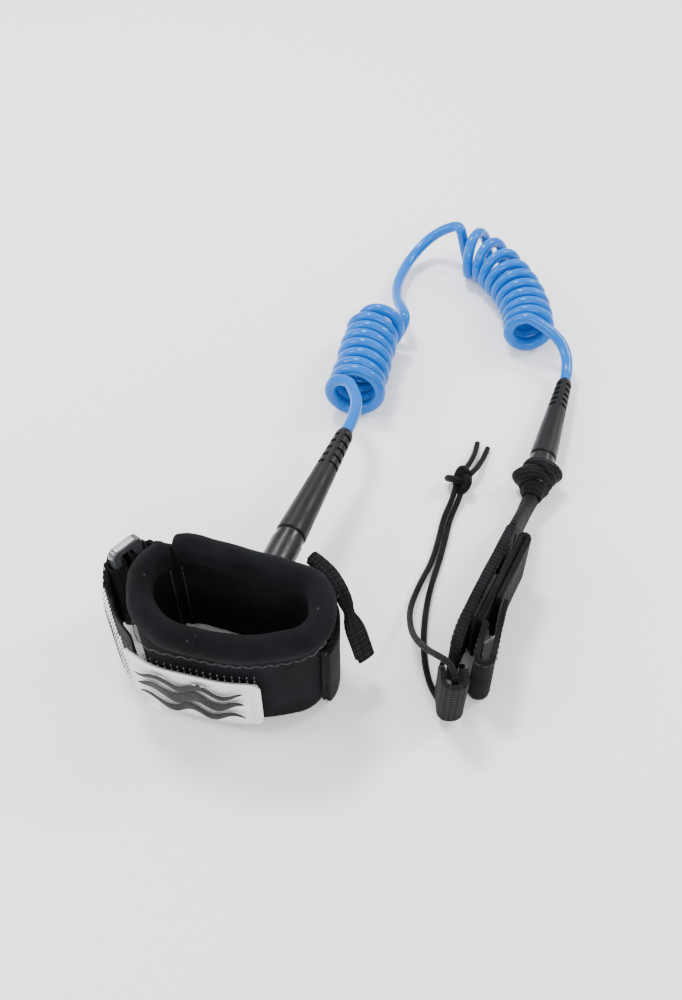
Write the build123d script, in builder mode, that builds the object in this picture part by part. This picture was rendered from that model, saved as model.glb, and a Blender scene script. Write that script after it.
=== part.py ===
from build123d import *
from math import cos, pi, radians, sin, tan
import os

# Coiled wrist leash laid out on a flat surface. Millimetres, +Z up, the surface is z = 0.
# The origin is under the middle of the hard and sewn parts, the free cord and string left out.
# Positions are given on the layout, and every piece is moved by layout_shift as it is saved.

# ---------------------------------------------------------------- driving dimensions

layout_shift = (1.999, 0.275, 0)

cord_diameter = 6.0
string_diameter = 2.8

cuff_middle = (-58, -67)
cuff_height = 58.0
roll_radius = 5.5
pad_inner_offset = -3.4
pad_outer_offset = 1.6
backing_thickness = 1.2
tape_thickness = 0.8
strap_thickness = 1.6
layer_gap = 0.2
strap_bottom = 3.5
strap_top = 43.5
backing_bottom = 1.0
backing_top = 46.0
ribbed_end_angle = -27

badge_thickness = 2.0
badge_bottom = 4.0
badge_top = 36.0

ring_plan_centre = (-102.0, -41.5)
ring_heading = 47.0
ring_size = (15.0, 51.4)
ring_opening = (7.5, 45.0)
ring_bottom = 0.2
ring_thickness = 4.0

swivel_pin_radius = 2.0
running_clearance = 0.05
cross_pin_radius = 2.0
fork_slot = 10.6
groove_width = 0.9

cuff_swivel_place = (-36, -21, 30)
cuff_swivel_heading = 68.5
cuff_boot_length = 66.0
cuff_boot_radii = (7.0, 4.1)
cuff_collar_length = 26.0

board_swivel_place = (85, 43, 9)
board_swivel_heading = 71.0
board_boot_length = 57.0
board_boot_radii = (6.5, 3.8)
board_collar_length = 20.0

cuff_coil_start = (-7.6, 78.7)
cuff_coil_heading = 78.2
cuff_coil_length = 66.0
cuff_coil_radius = 11.9

board_coil_start = (56, 208.5)
board_coil_heading = -38.0
board_coil_sweep = -62.0
board_coil_bend = 85.0
board_coil_radius = 10.8

saver_height = 30.0
saver_strap_thickness = 4.8
saver_tape_thickness = 1.4
saver_cover_thickness = 2.6
saver_flap_thickness = 2.2
end_loop_bottom = 4.0
end_loop_top = 31.0

os.makedirs("parts", exist_ok=True)


# ---------------------------------------------------------------- helpers

def save(part, name):
    """Label a finished piece, move it to the part's frame and write it to its own STEP file."""
    part.label = name
    part.move(Location(layout_shift))
    export_step(part, f"parts/{name}.step")


def heading_vector(angle):
    """Unit vector in the XY plane at an angle from +X in degrees."""
    return Vector(cos(radians(angle)), sin(radians(angle)), 0)


def corner_radii(points):
    """The arc for each inner corner of a cord: 0.45 of the shorter run over tan(half the turn)."""
    spots = [Vector(*point) for point in points]
    radii = []
    for before, corner, after in zip(spots, spots[1:], spots[2:]):
        turn = (corner - before).get_angle(after - corner)
        shorter = min((corner - before).length, (after - corner).length)
        radii.append(0.45 * shorter / tan(radians(turn) / 2))
    return radii


def cord_tube(name, points, diameter):
    """Sweep a round cord along straight runs joined by tangent arcs, and report its bends."""
    radii = corner_radii(points)
    with BuildPart() as tube:
        with BuildLine() as route:
            FilletPolyline(*points, radius=radii)
        with BuildSketch(Plane(origin=route.line @ 0, z_dir=route.line % 0)):
            Circle(diameter / 2)
        sweep()
    length = sum(edge.length for edge in route.edges())
    expected = pi * diameter ** 2 / 4 * length
    print(f"{name}: length {length:.1f}, volume ratio {tube.part.volume / expected:.4f},",
          "radii", [round(radius) for radius in radii])
    save(tube.part, name)


# ---------------------------------------------------------------- cuff outlines

# Rounded outline of the padded band in plan, along the middle of its rolled top edge.
pad_corners = [(-90, -38.5), (-21.3, -61.5), (-20.8, -86.5), (-50, -93), (-95, -81.5)]
pad_corner_radii = [16, 14, 14, 60, 26]

# The closing strap leaves the pad at the left, where the slot ring holds it out.
strap_corners = [(-107.5, -34), (-21.3, -61.5), (-20.8, -86.5), (-50, -93), (-101.3, -79.9)]
strap_corner_radii = [9, 14, 14, 60, 34]


def outline_face(corners, radii, outset):
    """Face inside a rounded outline, grown or shrunk by an outset."""
    with BuildSketch() as outline:
        with BuildLine():
            FilletPolyline(*corners, radius=radii, close=True)
        make_face()
        offset(amount=outset)
    return outline.sketch


def sector_face(start_angle, end_angle):
    """Fan around the cuff's middle between two angles, wide enough to cut any layer."""
    reach = 120
    count = 12
    span = end_angle - start_angle
    spots = [cuff_middle]
    for step in range(count + 1):
        angle = radians(start_angle + span * step / count)
        spots.append((cuff_middle[0] + reach * cos(angle), cuff_middle[1] + reach * sin(angle)))
    with BuildSketch() as fan:
        with BuildLine():
            Polyline(*spots, close=True)
        make_face()
    return fan.sketch


def layer_face(corners, radii, inner, outer, start_angle, end_angle):
    """One layer of the cuff in plan: the band between two outsets, kept within a fan."""
    outside = outline_face(corners, radii, outer)
    inside = outline_face(corners, radii, inner)
    fan = sector_face(start_angle, end_angle)
    with BuildSketch() as layer:
        add(outside)
        add(inside, mode=Mode.SUBTRACT)
        add(fan, mode=Mode.INTERSECT)
    return layer.sketch


def upright_layer(name, face, bottom, top):
    """Stand a plan face up between two heights and write it as a piece."""
    with BuildPart() as layer:
        with Locations((0, 0, bottom)):
            add(face)
        extrude(amount=top - bottom)
    save(layer.part, name)


# ---------------------------------------------------------------- cuff

backing_inner = pad_outer_offset + layer_gap
backing_outer = backing_inner + backing_thickness
loop_inner = backing_outer + layer_gap
loop_outer = loop_inner + tape_thickness
hook_inner = loop_outer + layer_gap
hook_outer = hook_inner + tape_thickness
tape_inner = hook_outer + layer_gap
tape_outer = tape_inner + strap_thickness
strap_inner = loop_inner + layer_gap
strap_outer = strap_inner + strap_thickness
badge_inner = strap_outer + layer_gap
badge_outer = badge_inner + badge_thickness

notch_angle = 138
notch_width = 0.8

band_face = layer_face(pad_corners, pad_corner_radii, pad_inner_offset, pad_outer_offset, 0, 180)
band_other = layer_face(pad_corners, pad_corner_radii, pad_inner_offset, pad_outer_offset, 180, 360)
roll_height = cuff_height - roll_radius

with BuildPart() as cuff_pad:
    add(band_face)
    add(band_other)
    extrude(amount=roll_height)
    with BuildLine() as roll_line:
        roll_corners = [(x, y, roll_height) for x, y in pad_corners]
        FilletPolyline(*roll_corners, radius=pad_corner_radii, close=True)
    with BuildSketch(Plane(origin=roll_line.line @ 0, z_dir=roll_line.line % 0)):
        Circle(roll_radius)
    sweep()
    notch_reach = 60
    notch_direction = heading_vector(notch_angle)
    notch_place = Vector(*cuff_middle) + notch_direction * notch_reach / 2
    with Locations(Location((notch_place.X, notch_place.Y, cuff_height / 2), (0, 0, notch_angle))):
        Box(notch_reach, notch_width, cuff_height + 2, mode=Mode.SUBTRACT)
save(cuff_pad.part, "cuff_pad")

upright_layer("backing_webbing",
              layer_face(pad_corners, pad_corner_radii, backing_inner, backing_outer, 150, 486),
              backing_bottom, backing_top)
upright_layer("loop_panel",
              layer_face(pad_corners, pad_corner_radii, loop_inner, loop_outer, ribbed_end_angle + 3, 40),
              strap_bottom + 2, strap_top - 2)
upright_layer("hook_panel",
              layer_face(pad_corners, pad_corner_radii, hook_inner, hook_outer, ribbed_end_angle + 7, 34),
              strap_bottom + 2, strap_top - 2)
upright_layer("closure_tape",
              layer_face(pad_corners, pad_corner_radii, tape_inner, tape_outer, ribbed_end_angle + 1, 36),
              strap_bottom, strap_top)
upright_layer("badge",
              layer_face(strap_corners, strap_corner_radii, badge_inner, badge_outer, 200, 297.5),
              badge_bottom, badge_top)

# Slot ring: its near bar carries the strap, its far bar the tab.
ring_direction = heading_vector(ring_heading)
ring_plane = Plane(origin=(*ring_plan_centre, ring_bottom + ring_size[1] / 2),
                   x_dir=ring_direction, z_dir=heading_vector(ring_heading + 90))
with BuildPart() as slot_ring:
    with BuildSketch(ring_plane):
        RectangleRounded(*ring_size, 3)
        RectangleRounded(*ring_opening, 1, mode=Mode.SUBTRACT)
    extrude(amount=ring_thickness / 2, both=True)
    fillet(slot_ring.edges().filter_by(GeomType.LINE).group_by(SortBy.LENGTH)[-1], 0.9)
save(slot_ring.part, "slot_ring")

bar_reach = (ring_size[0] + ring_opening[0]) / 4
strap_bar = Vector(*ring_plan_centre) - ring_direction * bar_reach
tab_bar = Vector(*ring_plan_centre) + ring_direction * bar_reach
bar_clearance_radius = 3.0
eye_wall = 1.2

with BuildPart() as closing_strap:
    add(layer_face(strap_corners, strap_corner_radii, strap_inner, strap_outer, 157, 360 + ribbed_end_angle))
    extrude(amount=strap_top - strap_bottom)
    with BuildSketch():
        with Locations((strap_bar.X, strap_bar.Y)):
            Circle(bar_clearance_radius + eye_wall)
            Circle(bar_clearance_radius, mode=Mode.SUBTRACT)
    extrude(amount=strap_top - strap_bottom)
closing_strap.part.locate(Location((0, 0, strap_bottom)))
save(closing_strap.part, "closing_strap")

upright_layer("strap_anchor",
              layer_face(strap_corners, strap_corner_radii, strap_inner - 1.8, strap_inner - 0.6, 172, 196),
              strap_bottom, strap_top)

with BuildPart() as ring_tab:
    with BuildSketch():
        with Locations((tab_bar.X, tab_bar.Y)):
            Circle(bar_clearance_radius + eye_wall)
        with BuildLine():
            Polyline((tab_bar.X + 1, tab_bar.Y + 3.4), (-86, -35.3), (-70, -40.8))
        trace(line_width=eye_wall)
        with Locations((tab_bar.X, tab_bar.Y)):
            Circle(bar_clearance_radius, mode=Mode.SUBTRACT)
    extrude(amount=strap_top - strap_bottom)
ring_tab.part.locate(Location((0, 0, strap_bottom)))
save(ring_tab.part, "ring_tab")

# Narrow doubled tab on the strap's end, standing out at the right and drooping over.
with BuildPart() as pull_tab:
    with BuildLine() as tab_route:
        FilletPolyline((-27, -44.5, 47.5), (-20, -49.6, 46.5), (-14.2, -58.4, 44.5), (-11.2, -65.5, 38.5),
                       (-7.4, -69, 27), (-3.8, -71.5, 12), radius=[10, 10, 8, 8])
    with BuildSketch(Plane(origin=tab_route.line @ 0, z_dir=tab_route.line % 0)):
        Circle(3.0)
    sweep()
save(pull_tab.part, "pull_tab")


# ---------------------------------------------------------------- swivels

def swivel_plane(place, heading, reach):
    """Plane square to a swivel's axis, a reach from its groove towards the cord."""
    return Plane(origin=Vector(*place) + heading_vector(heading) * reach,
                 x_dir=heading_vector(heading + 90), z_dir=heading_vector(heading))


def turned(name, place, heading, start, stop, outer, bore):
    """A plain turned ring or rod on a swivel's axis between two stations."""
    with BuildPart() as piece:
        with BuildSketch(swivel_plane(place, heading, start)):
            Circle(outer)
            if bore > 0:
                Circle(bore, mode=Mode.SUBTRACT)
        extrude(amount=stop - start)
    save(piece.part, name)


def swivel_pin(name, place, heading, back, head_start):
    """Headed pin: its shank is held in the collar and its head keeps the bushing on."""
    head_length = 2.4
    head_radius = 3.6
    with BuildPart() as pin:
        with BuildSketch(swivel_plane(place, heading, back)):
            Circle(swivel_pin_radius)
        extrude(amount=head_start - back)
        with BuildSketch(swivel_plane(place, heading, head_start)):
            Circle(head_radius)
        extrude(amount=head_length)
    save(pin.part, name)


def collar(name, place, heading, length, radius):
    """Round collar with a stepped waist, a bore for the swivel pin and a fork for the cross pin."""
    step_depth = 0.5
    step_station = -4.0
    fork_depth = 10.0
    cross_station = 5.0
    with BuildPart() as body:
        with BuildSketch(swivel_plane(place, heading, -length)):
            Circle(radius)
        extrude(amount=length + step_station)
        with BuildSketch(swivel_plane(place, heading, step_station)):
            Circle(radius - step_depth)
        extrude(amount=-groove_width / 2 - step_station)
        with BuildSketch(swivel_plane(place, heading, -length)):
            Circle(swivel_pin_radius + running_clearance)
        extrude(amount=length, mode=Mode.SUBTRACT)
        fork_middle = Vector(*place) - heading_vector(heading) * (length - fork_depth / 2)
        with Locations(Location(tuple(fork_middle), (0, 0, heading))):
            Box(fork_depth, 3 * radius, fork_slot, mode=Mode.SUBTRACT)
        hole = Vector(*place) - heading_vector(heading) * (length - cross_station)
        with Locations(tuple(hole)):
            Cylinder(cross_pin_radius + running_clearance, 3 * radius, mode=Mode.SUBTRACT)
    save(body.part, name)


def boot(name, place, heading, length, radii):
    """Tapered moulded boot with a stepped bore and five grip slots on each side of its nose."""
    wide, narrow = radii
    shoulder = 8.0
    bushing_end = 9.3
    cavity_end = 26.0
    cavity_radius = 4.2
    nose = 2.0
    start = groove_width / 2
    axis_plane = Plane(origin=place, x_dir=heading_vector(heading), z_dir=heading_vector(heading - 90))
    with BuildPart() as body:
        with BuildSketch(axis_plane):
            with BuildLine():
                Polyline((start, 0), (start, wide - 0.6), (start + 0.6, wide), (shoulder, wide - 0.3),
                         (length - nose, narrow + 0.15), (length, narrow - 0.5), (length, 0), close=True)
            make_face()
        revolve(axis=Axis(place, heading_vector(heading)))
        with BuildSketch(swivel_plane(place, heading, 0)):
            Circle(bushing_radius + 0.02)
        extrude(amount=bushing_end, mode=Mode.SUBTRACT)
        with BuildSketch(swivel_plane(place, heading, bushing_end - 1)):
            Circle(cavity_radius)
        extrude(amount=cavity_end - bushing_end + 1, mode=Mode.SUBTRACT)
        with BuildSketch(swivel_plane(place, heading, cavity_end - 1)):
            Circle(cord_diameter / 2 + 0.03)
        extrude(amount=length, mode=Mode.SUBTRACT)
        slot_pitch = length / 14
        slot_depth = 0.65
        rib_width = 2.4
        for slot in range(5):
            station = length - 6 - slot * slot_pitch
            taper = (wide - 0.3 - narrow) / (length - nose - shoulder)
            surface = narrow + (length - nose - station) * taper
            with BuildSketch(swivel_plane(place, heading, station)):
                Circle(surface + 2)
                Circle(surface - slot_depth, mode=Mode.SUBTRACT)
                Rectangle(rib_width, 4 * wide, mode=Mode.SUBTRACT)
            extrude(amount=slot_pitch * 0.42, mode=Mode.SUBTRACT)
    save(body.part, name)


bushing_radius = 4.6


def make_swivel(end, place, heading, boot_length, radii, collar_length):
    """All pieces of one swivel: collar, pins, washer, bushing, ferrule, cord end and boot."""
    pin_head_start = 9.2
    collar(f"{end}_collar", place, heading, collar_length, radii[0])
    cross_place = Vector(*place) - heading_vector(heading) * (collar_length - 5)
    with BuildPart() as cross_pin:
        with Locations(tuple(cross_place)):
            Cylinder(cross_pin_radius, 2 * radii[0] - 1)
    save(cross_pin.part, f"{end}_cross_pin")
    swivel_pin(f"{end}_swivel_pin", place, heading, 10.5 - collar_length, pin_head_start)
    turned(f"{end}_washer", place, heading, -groove_width / 2 + 0.05, groove_width / 2 - 0.05,
           radii[0] - 1.2, swivel_pin_radius + running_clearance)
    turned(f"{end}_bushing", place, heading, groove_width / 2 + 0.05, pin_head_start - 0.1,
           bushing_radius, swivel_pin_radius + running_clearance)
    turned(f"{end}_ferrule", place, heading, 13.0, 25.0, 4.1, cord_diameter / 2 + 0.03)
    turned(f"{end}_cord_end", place, heading, 13.2, boot_length, cord_diameter / 2, 0)
    boot(f"{end}_boot", place, heading, boot_length, radii)


make_swivel("cuff", cuff_swivel_place, cuff_swivel_heading, cuff_boot_length, cuff_boot_radii,
            cuff_collar_length)
make_swivel("board", board_swivel_place, board_swivel_heading, board_boot_length, board_boot_radii,
            board_collar_length)

# Webbing eye on the back of the cuff: it wraps the cross pin and is sewn flat to the backing.
tab_eye = Vector(*cuff_swivel_place) - heading_vector(cuff_swivel_heading) * (cuff_collar_length - 5)
with BuildPart() as swivel_tab:
    with BuildSketch():
        with Locations((tab_eye.X, tab_eye.Y)):
            Circle(3.7)
        with BuildLine():
            Polyline((tab_eye.X, tab_eye.Y), (tab_eye.X - 2.3, tab_eye.Y - 9.0))
        trace(line_width=3.0)
        with Locations((tab_eye.X, tab_eye.Y)):
            Circle(cross_pin_radius + running_clearance, mode=Mode.SUBTRACT)
    extrude(amount=fork_slot - 0.6)
    add(layer_face(pad_corners, pad_corner_radii, loop_inner, loop_inner + 1.2, 46, 78))
    extrude(amount=fork_slot - 0.6)
swivel_tab.part.locate(Location((0, 0, cuff_swivel_place[2] - (fork_slot - 0.6) / 2)))
save(swivel_tab.part, "swivel_tab")


# ---------------------------------------------------------------- cord

cuff_tip = Vector(*cuff_swivel_place) + heading_vector(cuff_swivel_heading) * cuff_boot_length
board_tip = Vector(*board_swivel_place) + heading_vector(board_swivel_heading) * board_boot_length
tip_gap = 0.3

cuff_coil_outer = cuff_coil_radius + cord_diameter / 2
cuff_coil_direction = heading_vector(cuff_coil_heading)
cuff_coil_near = Vector(*cuff_coil_start, cuff_coil_outer)
with BuildPart() as cuff_coil:
    with BuildSketch(Plane(origin=cuff_coil_near, z_dir=cuff_coil_direction)):
        Circle(cuff_coil_outer)
    extrude(amount=cuff_coil_length)
save(cuff_coil.part, "cuff_coil")

board_coil_outer = board_coil_radius + cord_diameter / 2
board_coil_far = Vector(*board_coil_start, board_coil_outer)
with BuildPart() as board_coil:
    with BuildLine() as coil_axis:
        bend_centre = board_coil_far + heading_vector(board_coil_heading - 90) * board_coil_bend
        CenterArc(bend_centre, board_coil_bend, board_coil_heading + 90, board_coil_sweep)
    with BuildSketch(Plane(origin=coil_axis.line @ 0, z_dir=coil_axis.line % 0)):
        Circle(board_coil_outer)
    sweep()
save(board_coil.part, "board_coil")

# From the cuff boot's nose into the top of the first coil.
lead_start = cuff_tip + heading_vector(cuff_swivel_heading) * tip_gap
lead_second = cuff_tip + heading_vector(cuff_swivel_heading) * 12
lead_points = [tuple(lead_start), tuple(lead_second), (-6, 66, 28), (-6.7, 80.5, 26.4)]
cord_tube("cord_lead", lead_points, cord_diameter)

# From the far right of the first coil, low over the table and up to the top of the second coil.
bridge_points = [(16.5, 137, 15), (18.3, 152, 12.5), (17.6, 167, 9), (19.3, 184, 6.5), (25, 200, 6.5),
                 (32.6, 211, 9.5), (41, 216.2, 15), (48.5, 215.4, 20.5), (54, 212.6, 23.8), (57.4, 209.9, 24.2)]
cord_tube("cord_bridge", bridge_points, cord_diameter)

# From the second coil's near end down to the board boot's nose.
tail_points = [(96.5, 131, 20.3), (102.5, 122.5, 17.5), (106.4, 113, 13)]
tail_points.append(tuple(board_tip + heading_vector(board_swivel_heading) * 6))
tail_points.append(tuple(board_tip + heading_vector(board_swivel_heading) * tip_gap))
cord_tube("cord_tail", tail_points, cord_diameter)


# ---------------------------------------------------------------- rail saver

board_axis = heading_vector(board_swivel_heading)
hitch_front = -1.6
hitch_back = -27.0
with BuildPart() as saver_hitch:
    with BuildSketch(Plane(origin=board_swivel_place, x_dir=board_axis,
                           z_dir=heading_vector(board_swivel_heading - 90))):
        with BuildLine():
            Polyline((hitch_front, 0), (hitch_front, 7.6), (-4, 8.9), (-13, 8.9), (-21, 7.2),
                     (hitch_back, 4.2), (hitch_back, 0), close=True)
        make_face()
    revolve(axis=Axis(board_swivel_place, board_axis))
    with BuildSketch(swivel_plane(board_swivel_place, board_swivel_heading, -board_collar_length - 1)):
        Circle(board_boot_radii[0] + 0.25)
    extrude(amount=board_collar_length + 1, mode=Mode.SUBTRACT)
save(saver_hitch.part, "saver_hitch")

stem_start = Vector(*board_swivel_place) + board_axis * (hitch_back - 0.3)
saver_heading = 242.6
strap_start = (61.2, -14.4)
with BuildPart() as saver_stem:
    with BuildSketch(Plane(origin=stem_start, x_dir=heading_vector(board_swivel_heading + 90),
                           z_dir=-board_axis)):
        Rectangle(6.6, 7.2)
    stem_end = Vector(*strap_start, saver_height / 2) - heading_vector(saver_heading) * 0.3
    with BuildSketch(Plane(origin=stem_end, x_dir=heading_vector(saver_heading - 90),
                           z_dir=heading_vector(saver_heading))):
        Rectangle(saver_strap_thickness + 0.8, saver_height - 4)
    loft()
save(saver_stem.part, "saver_stem")


def upright_webbing(name, points, radii, thickness, bottom, top):
    """Webbing that stands on its edge along a bent line in plan."""
    with BuildPart() as webbing:
        with BuildSketch(Plane.XY.offset(bottom)):
            with BuildLine():
                FilletPolyline(*points, radius=radii)
            trace(line_width=thickness)
        extrude(amount=top - bottom)
    save(webbing.part, name)


upright_webbing("saver_strap", [strap_start, (46.6, -42.6), (35.1, -64.9), (31.9, -75)], [200, 60],
                saver_strap_thickness, 0, saver_height)
upright_webbing("saver_hook_strip", [(51.5, -40.3), (46.7, -49.7), (40.5, -61.7)], [300],
                saver_tape_thickness, 1, saver_height - 1)
upright_webbing("saver_cover",
                [(42.2, -63.4), (50.9, -46.5), (64.9, -19.1), (68.0, -20.65), (51.6, -53.2)],
                [200, 1.6, 1.6], saver_cover_thickness, 0, saver_height)
upright_webbing("saver_flap", [(54.6, -53.4), (50.2, -67.5), (46.2, -83.2), (39.0, -83.6), (40.9, -76.2),
                               (45.4, -63.6)],
                [60, 3.0, 3.0, 12], saver_flap_thickness, 0, saver_height)
upright_webbing("saver_end_loop", [(27.9, -74.6), (26.0, -81), (25.9, -95.2), (34.8, -95.0), (35.0, -82),
                                   (35.9, -75.6)],
                [20, 3.6, 3.6, 20], 2.2, end_loop_bottom, end_loop_top)


# ---------------------------------------------------------------- string

knot_place = (44, 32, 6.2)
with BuildPart() as string_knot:
    with Locations(Location(knot_place, (0, 0, 20))):
        Box(17, 14, 11.4)
    fillet(string_knot.edges(), 4.2)
save(string_knot.part, "string_knot")

# One side of the string climbs over the end loop's top edge and drops inside it.
cord_tube("string_over",
          [(40.5, 25, 3), (35, 12, 1.6), (31.8, -1, 1.6), (28, -14, 1.6), (21.5, -27, 2), (16.5, -40, 3),
           (15.5, -53, 9), (16.5, -65, 18), (20, -76, 27.5), (23.6, -83, 34.5), (28, -87.5, 36.5),
           (30.6, -90.5, 31.5), (30.8, -91.2, 23), (30.6, -91, 13)],
          string_diameter)

# The other side runs along the surface and under the end loop.
cord_tube("string_under",
          [(43.7, 24.4, 3), (37.9, 11.1, 1.6), (34.7, -1.9, 1.6), (31, -14.9, 1.6), (26, -29.5, 1.6),
           (23, -44, 1.6), (21.5, -58, 1.6), (22, -71, 1.6), (24.2, -81, 1.6), (28.5, -88, 1.6)],
          string_diameter)

cord_tube("string_tail_a", [(47, 38.5, 5.6), (50.5, 45, 4), (53.5, 52.5, 2.2), (55.5, 61, 1.6)],
          string_diameter)
cord_tube("string_tail_b", [(51, 36.5, 5.6), (54.5, 42.5, 4), (57.5, 50, 2.2), (60.5, 57.5, 1.6)],
          string_diameter)

for end, place, heading in (("cuff", cuff_swivel_place, cuff_swivel_heading),
                            ("board", board_swivel_place, board_swivel_heading)):
    print(f"{end} swivel axis through", Vector(*place) + Vector(*layout_shift), "along", heading_vector(heading))
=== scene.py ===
"""Looks of a coiled wrist leash: padded cuff, two swivel boots, coiled cord, rail saver and string."""
import logging
from bisect import bisect_right
from dataclasses import dataclass, field
from enum import Enum
from math import atan2, copysign, cos, degrees, exp, floor, hypot, pi, radians, sin, sqrt, tan
from typing import Callable, Sequence

import bpy
from mathutils import Matrix, Vector, noise


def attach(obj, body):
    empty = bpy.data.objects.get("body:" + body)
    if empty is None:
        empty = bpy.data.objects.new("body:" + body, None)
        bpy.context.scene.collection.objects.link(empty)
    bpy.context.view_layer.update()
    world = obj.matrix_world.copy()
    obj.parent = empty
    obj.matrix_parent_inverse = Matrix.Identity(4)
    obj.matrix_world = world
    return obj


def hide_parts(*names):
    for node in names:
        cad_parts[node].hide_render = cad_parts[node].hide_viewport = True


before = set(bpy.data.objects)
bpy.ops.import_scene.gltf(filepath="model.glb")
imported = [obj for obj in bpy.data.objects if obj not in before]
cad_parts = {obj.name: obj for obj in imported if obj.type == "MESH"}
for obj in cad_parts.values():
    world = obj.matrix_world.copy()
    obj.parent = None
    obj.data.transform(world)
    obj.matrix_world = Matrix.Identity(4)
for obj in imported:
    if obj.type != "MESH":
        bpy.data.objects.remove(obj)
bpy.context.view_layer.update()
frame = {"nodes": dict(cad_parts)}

LOG = logging.getLogger("leash")
UP = Vector((0.0, 0.0, 1.0))
LAYOUT_SHIFT = Vector((0.001999, 0.000275, 0.0))
CUFF_MIDDLE = (-0.058, -0.067)
Piece = bpy.types.Object
Socket = bpy.types.NodeSocket
Pair = tuple[float, float]
Seam = tuple[Vector, Vector]
Surface = Callable[[float, float], Vector]


@dataclass(frozen=True)
class Swivel:
    """Where a swivel stands on the layout, the heading of its boot, and the boot's length."""

    place: tuple[float, float, float]
    facing: float
    boot: float

    def along(self, distance: float) -> Vector:
        """Point on the swivel's axis at a distance from its place, in the part's frame."""
        return placed(*self.place) + heading(self.facing) * distance


CUFF_SWIVEL = Swivel((-0.036, -0.021, 0.030), 68.5, 0.066)
BOARD_SWIVEL = Swivel((0.085, 0.043, 0.009), 71.0, 0.057)


# Geometry helpers.

def placed(x: float, y: float, z: float) -> Vector:
    """Move a point of the layout, in metres, to the part's frame."""
    return Vector((x, y, z)) + LAYOUT_SHIFT


def heading(angle: float) -> Vector:
    """Unit vector in plan at an angle in degrees from +X."""
    return Vector((cos(radians(angle)), sin(radians(angle)), 0.0))


def rightward(direction: Vector) -> Vector:
    """The level direction to the right of another."""
    return Vector((direction.y, -direction.x, 0.0))


def ease(value: float, low: float, high: float) -> float:
    """Smooth step from 0 at low to 1 at high."""
    share = min(max((value - low) / (high - low), 0.0), 1.0)
    return share * share * (3.0 - 2.0 * share)


def hump(value: float, centre: float, width: float) -> float:
    """Bell of height 1 about a centre."""
    return exp(-((value - centre) / width) ** 2)


def closing(end: float, length: float) -> float:
    """Share of the full size at a distance from an end that closes as a quarter circle."""
    return sqrt(max(1.0 - (1.0 - min(end / length, 1.0)) ** 2, 0.0))


def bulged(value: float, power: float) -> float:
    """A power of a sine or cosine that keeps its sign, for rounded oblong sections."""
    return copysign(abs(value) ** power, value)


def ripple(point: Vector, scale: float, seed: float = 0.0) -> float:
    """Smooth repeatable noise between -1 and 1 at a feature size in metres."""
    return noise.noise(point / scale + Vector((seed, seed * 0.37, seed * 0.71)))


@dataclass
class PlanLine:
    """A line in plan made of straight runs and corner arcs, open or closed.

    Args:
        corners: corner points in metres on the layout.
        radii: one radius per rounded corner.
        closed: whether the last corner joins the first.
    """

    corners: Sequence[Pair]
    radii: Sequence[float]
    closed: bool = False
    length: float = 0.0
    pieces: list = field(default_factory=list)

    def __post_init__(self) -> None:
        """Split the line into runs and arcs of constant bend."""
        spots = [Vector((x, y)) for x, y in self.corners]
        count = len(spots)
        order = range(count) if self.closed else range(1, count - 1)
        joints = []
        for index, radius in zip(order, self.radii):
            before, here, after = spots[index - 1], spots[index], spots[(index + 1) % count]
            incoming, outgoing = (here - before).normalized(), (after - here).normalized()
            turn = atan2(incoming.cross(outgoing), incoming.dot(outgoing))
            trim = radius * tan(abs(turn) / 2)
            joints.append((here - incoming * trim, turn, radius, here + outgoing * trim, incoming))
        cursor = joints[-1][3] if self.closed else spots[0]
        for start, turn, radius, stop, incoming in joints:
            self._add(cursor, start - cursor, 0.0)
            self._add(start, incoming * radius * abs(turn), turn)
            cursor = stop
        if not self.closed:
            self._add(cursor, spots[-1] - cursor, 0.0)

    def _add(self, start: Vector, run: Vector, turn: float) -> None:
        """Store one piece: where it starts, its heading, length and bend."""
        length = run.length
        if length < 1e-7:
            return
        angle = atan2(run.y, run.x)
        self.pieces.append((self.length, start, angle, length, turn / length))
        self.length += length

    def at(self, distance: float) -> tuple[Vector, Vector, Vector]:
        """Point, tangent and left-hand normal at a distance along the line, in the part's frame."""
        distance = distance % self.length if self.closed else min(max(distance, 0.0), self.length)
        index = bisect_right([piece[0] for piece in self.pieces], distance) - 1
        offset, start, angle, _, bend = self.pieces[max(index, 0)]
        reach = distance - offset
        turned = angle + bend * reach
        if abs(bend) < 1e-9:
            spot = start + Vector((cos(angle), sin(angle))) * reach
        else:
            spot = start + Vector((sin(turned) - sin(angle),
                                   cos(angle) - cos(turned))) / bend
        tangent = Vector((cos(turned), sin(turned), 0.0))
        return placed(spot.x, spot.y, 0.0), tangent, Vector((-tangent.y, tangent.x, 0.0))

    def facing(self, angle: float) -> float:
        """Distance along the line of the point seen from the cuff's middle at an angle in degrees."""
        middle = placed(*CUFF_MIDDLE, 0.0)
        aim = heading(angle)
        steps = 1200
        return max((step * self.length / steps for step in range(steps)),
                   key=lambda reach: (self.at(reach)[0] - middle).normalized().dot(aim))


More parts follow.
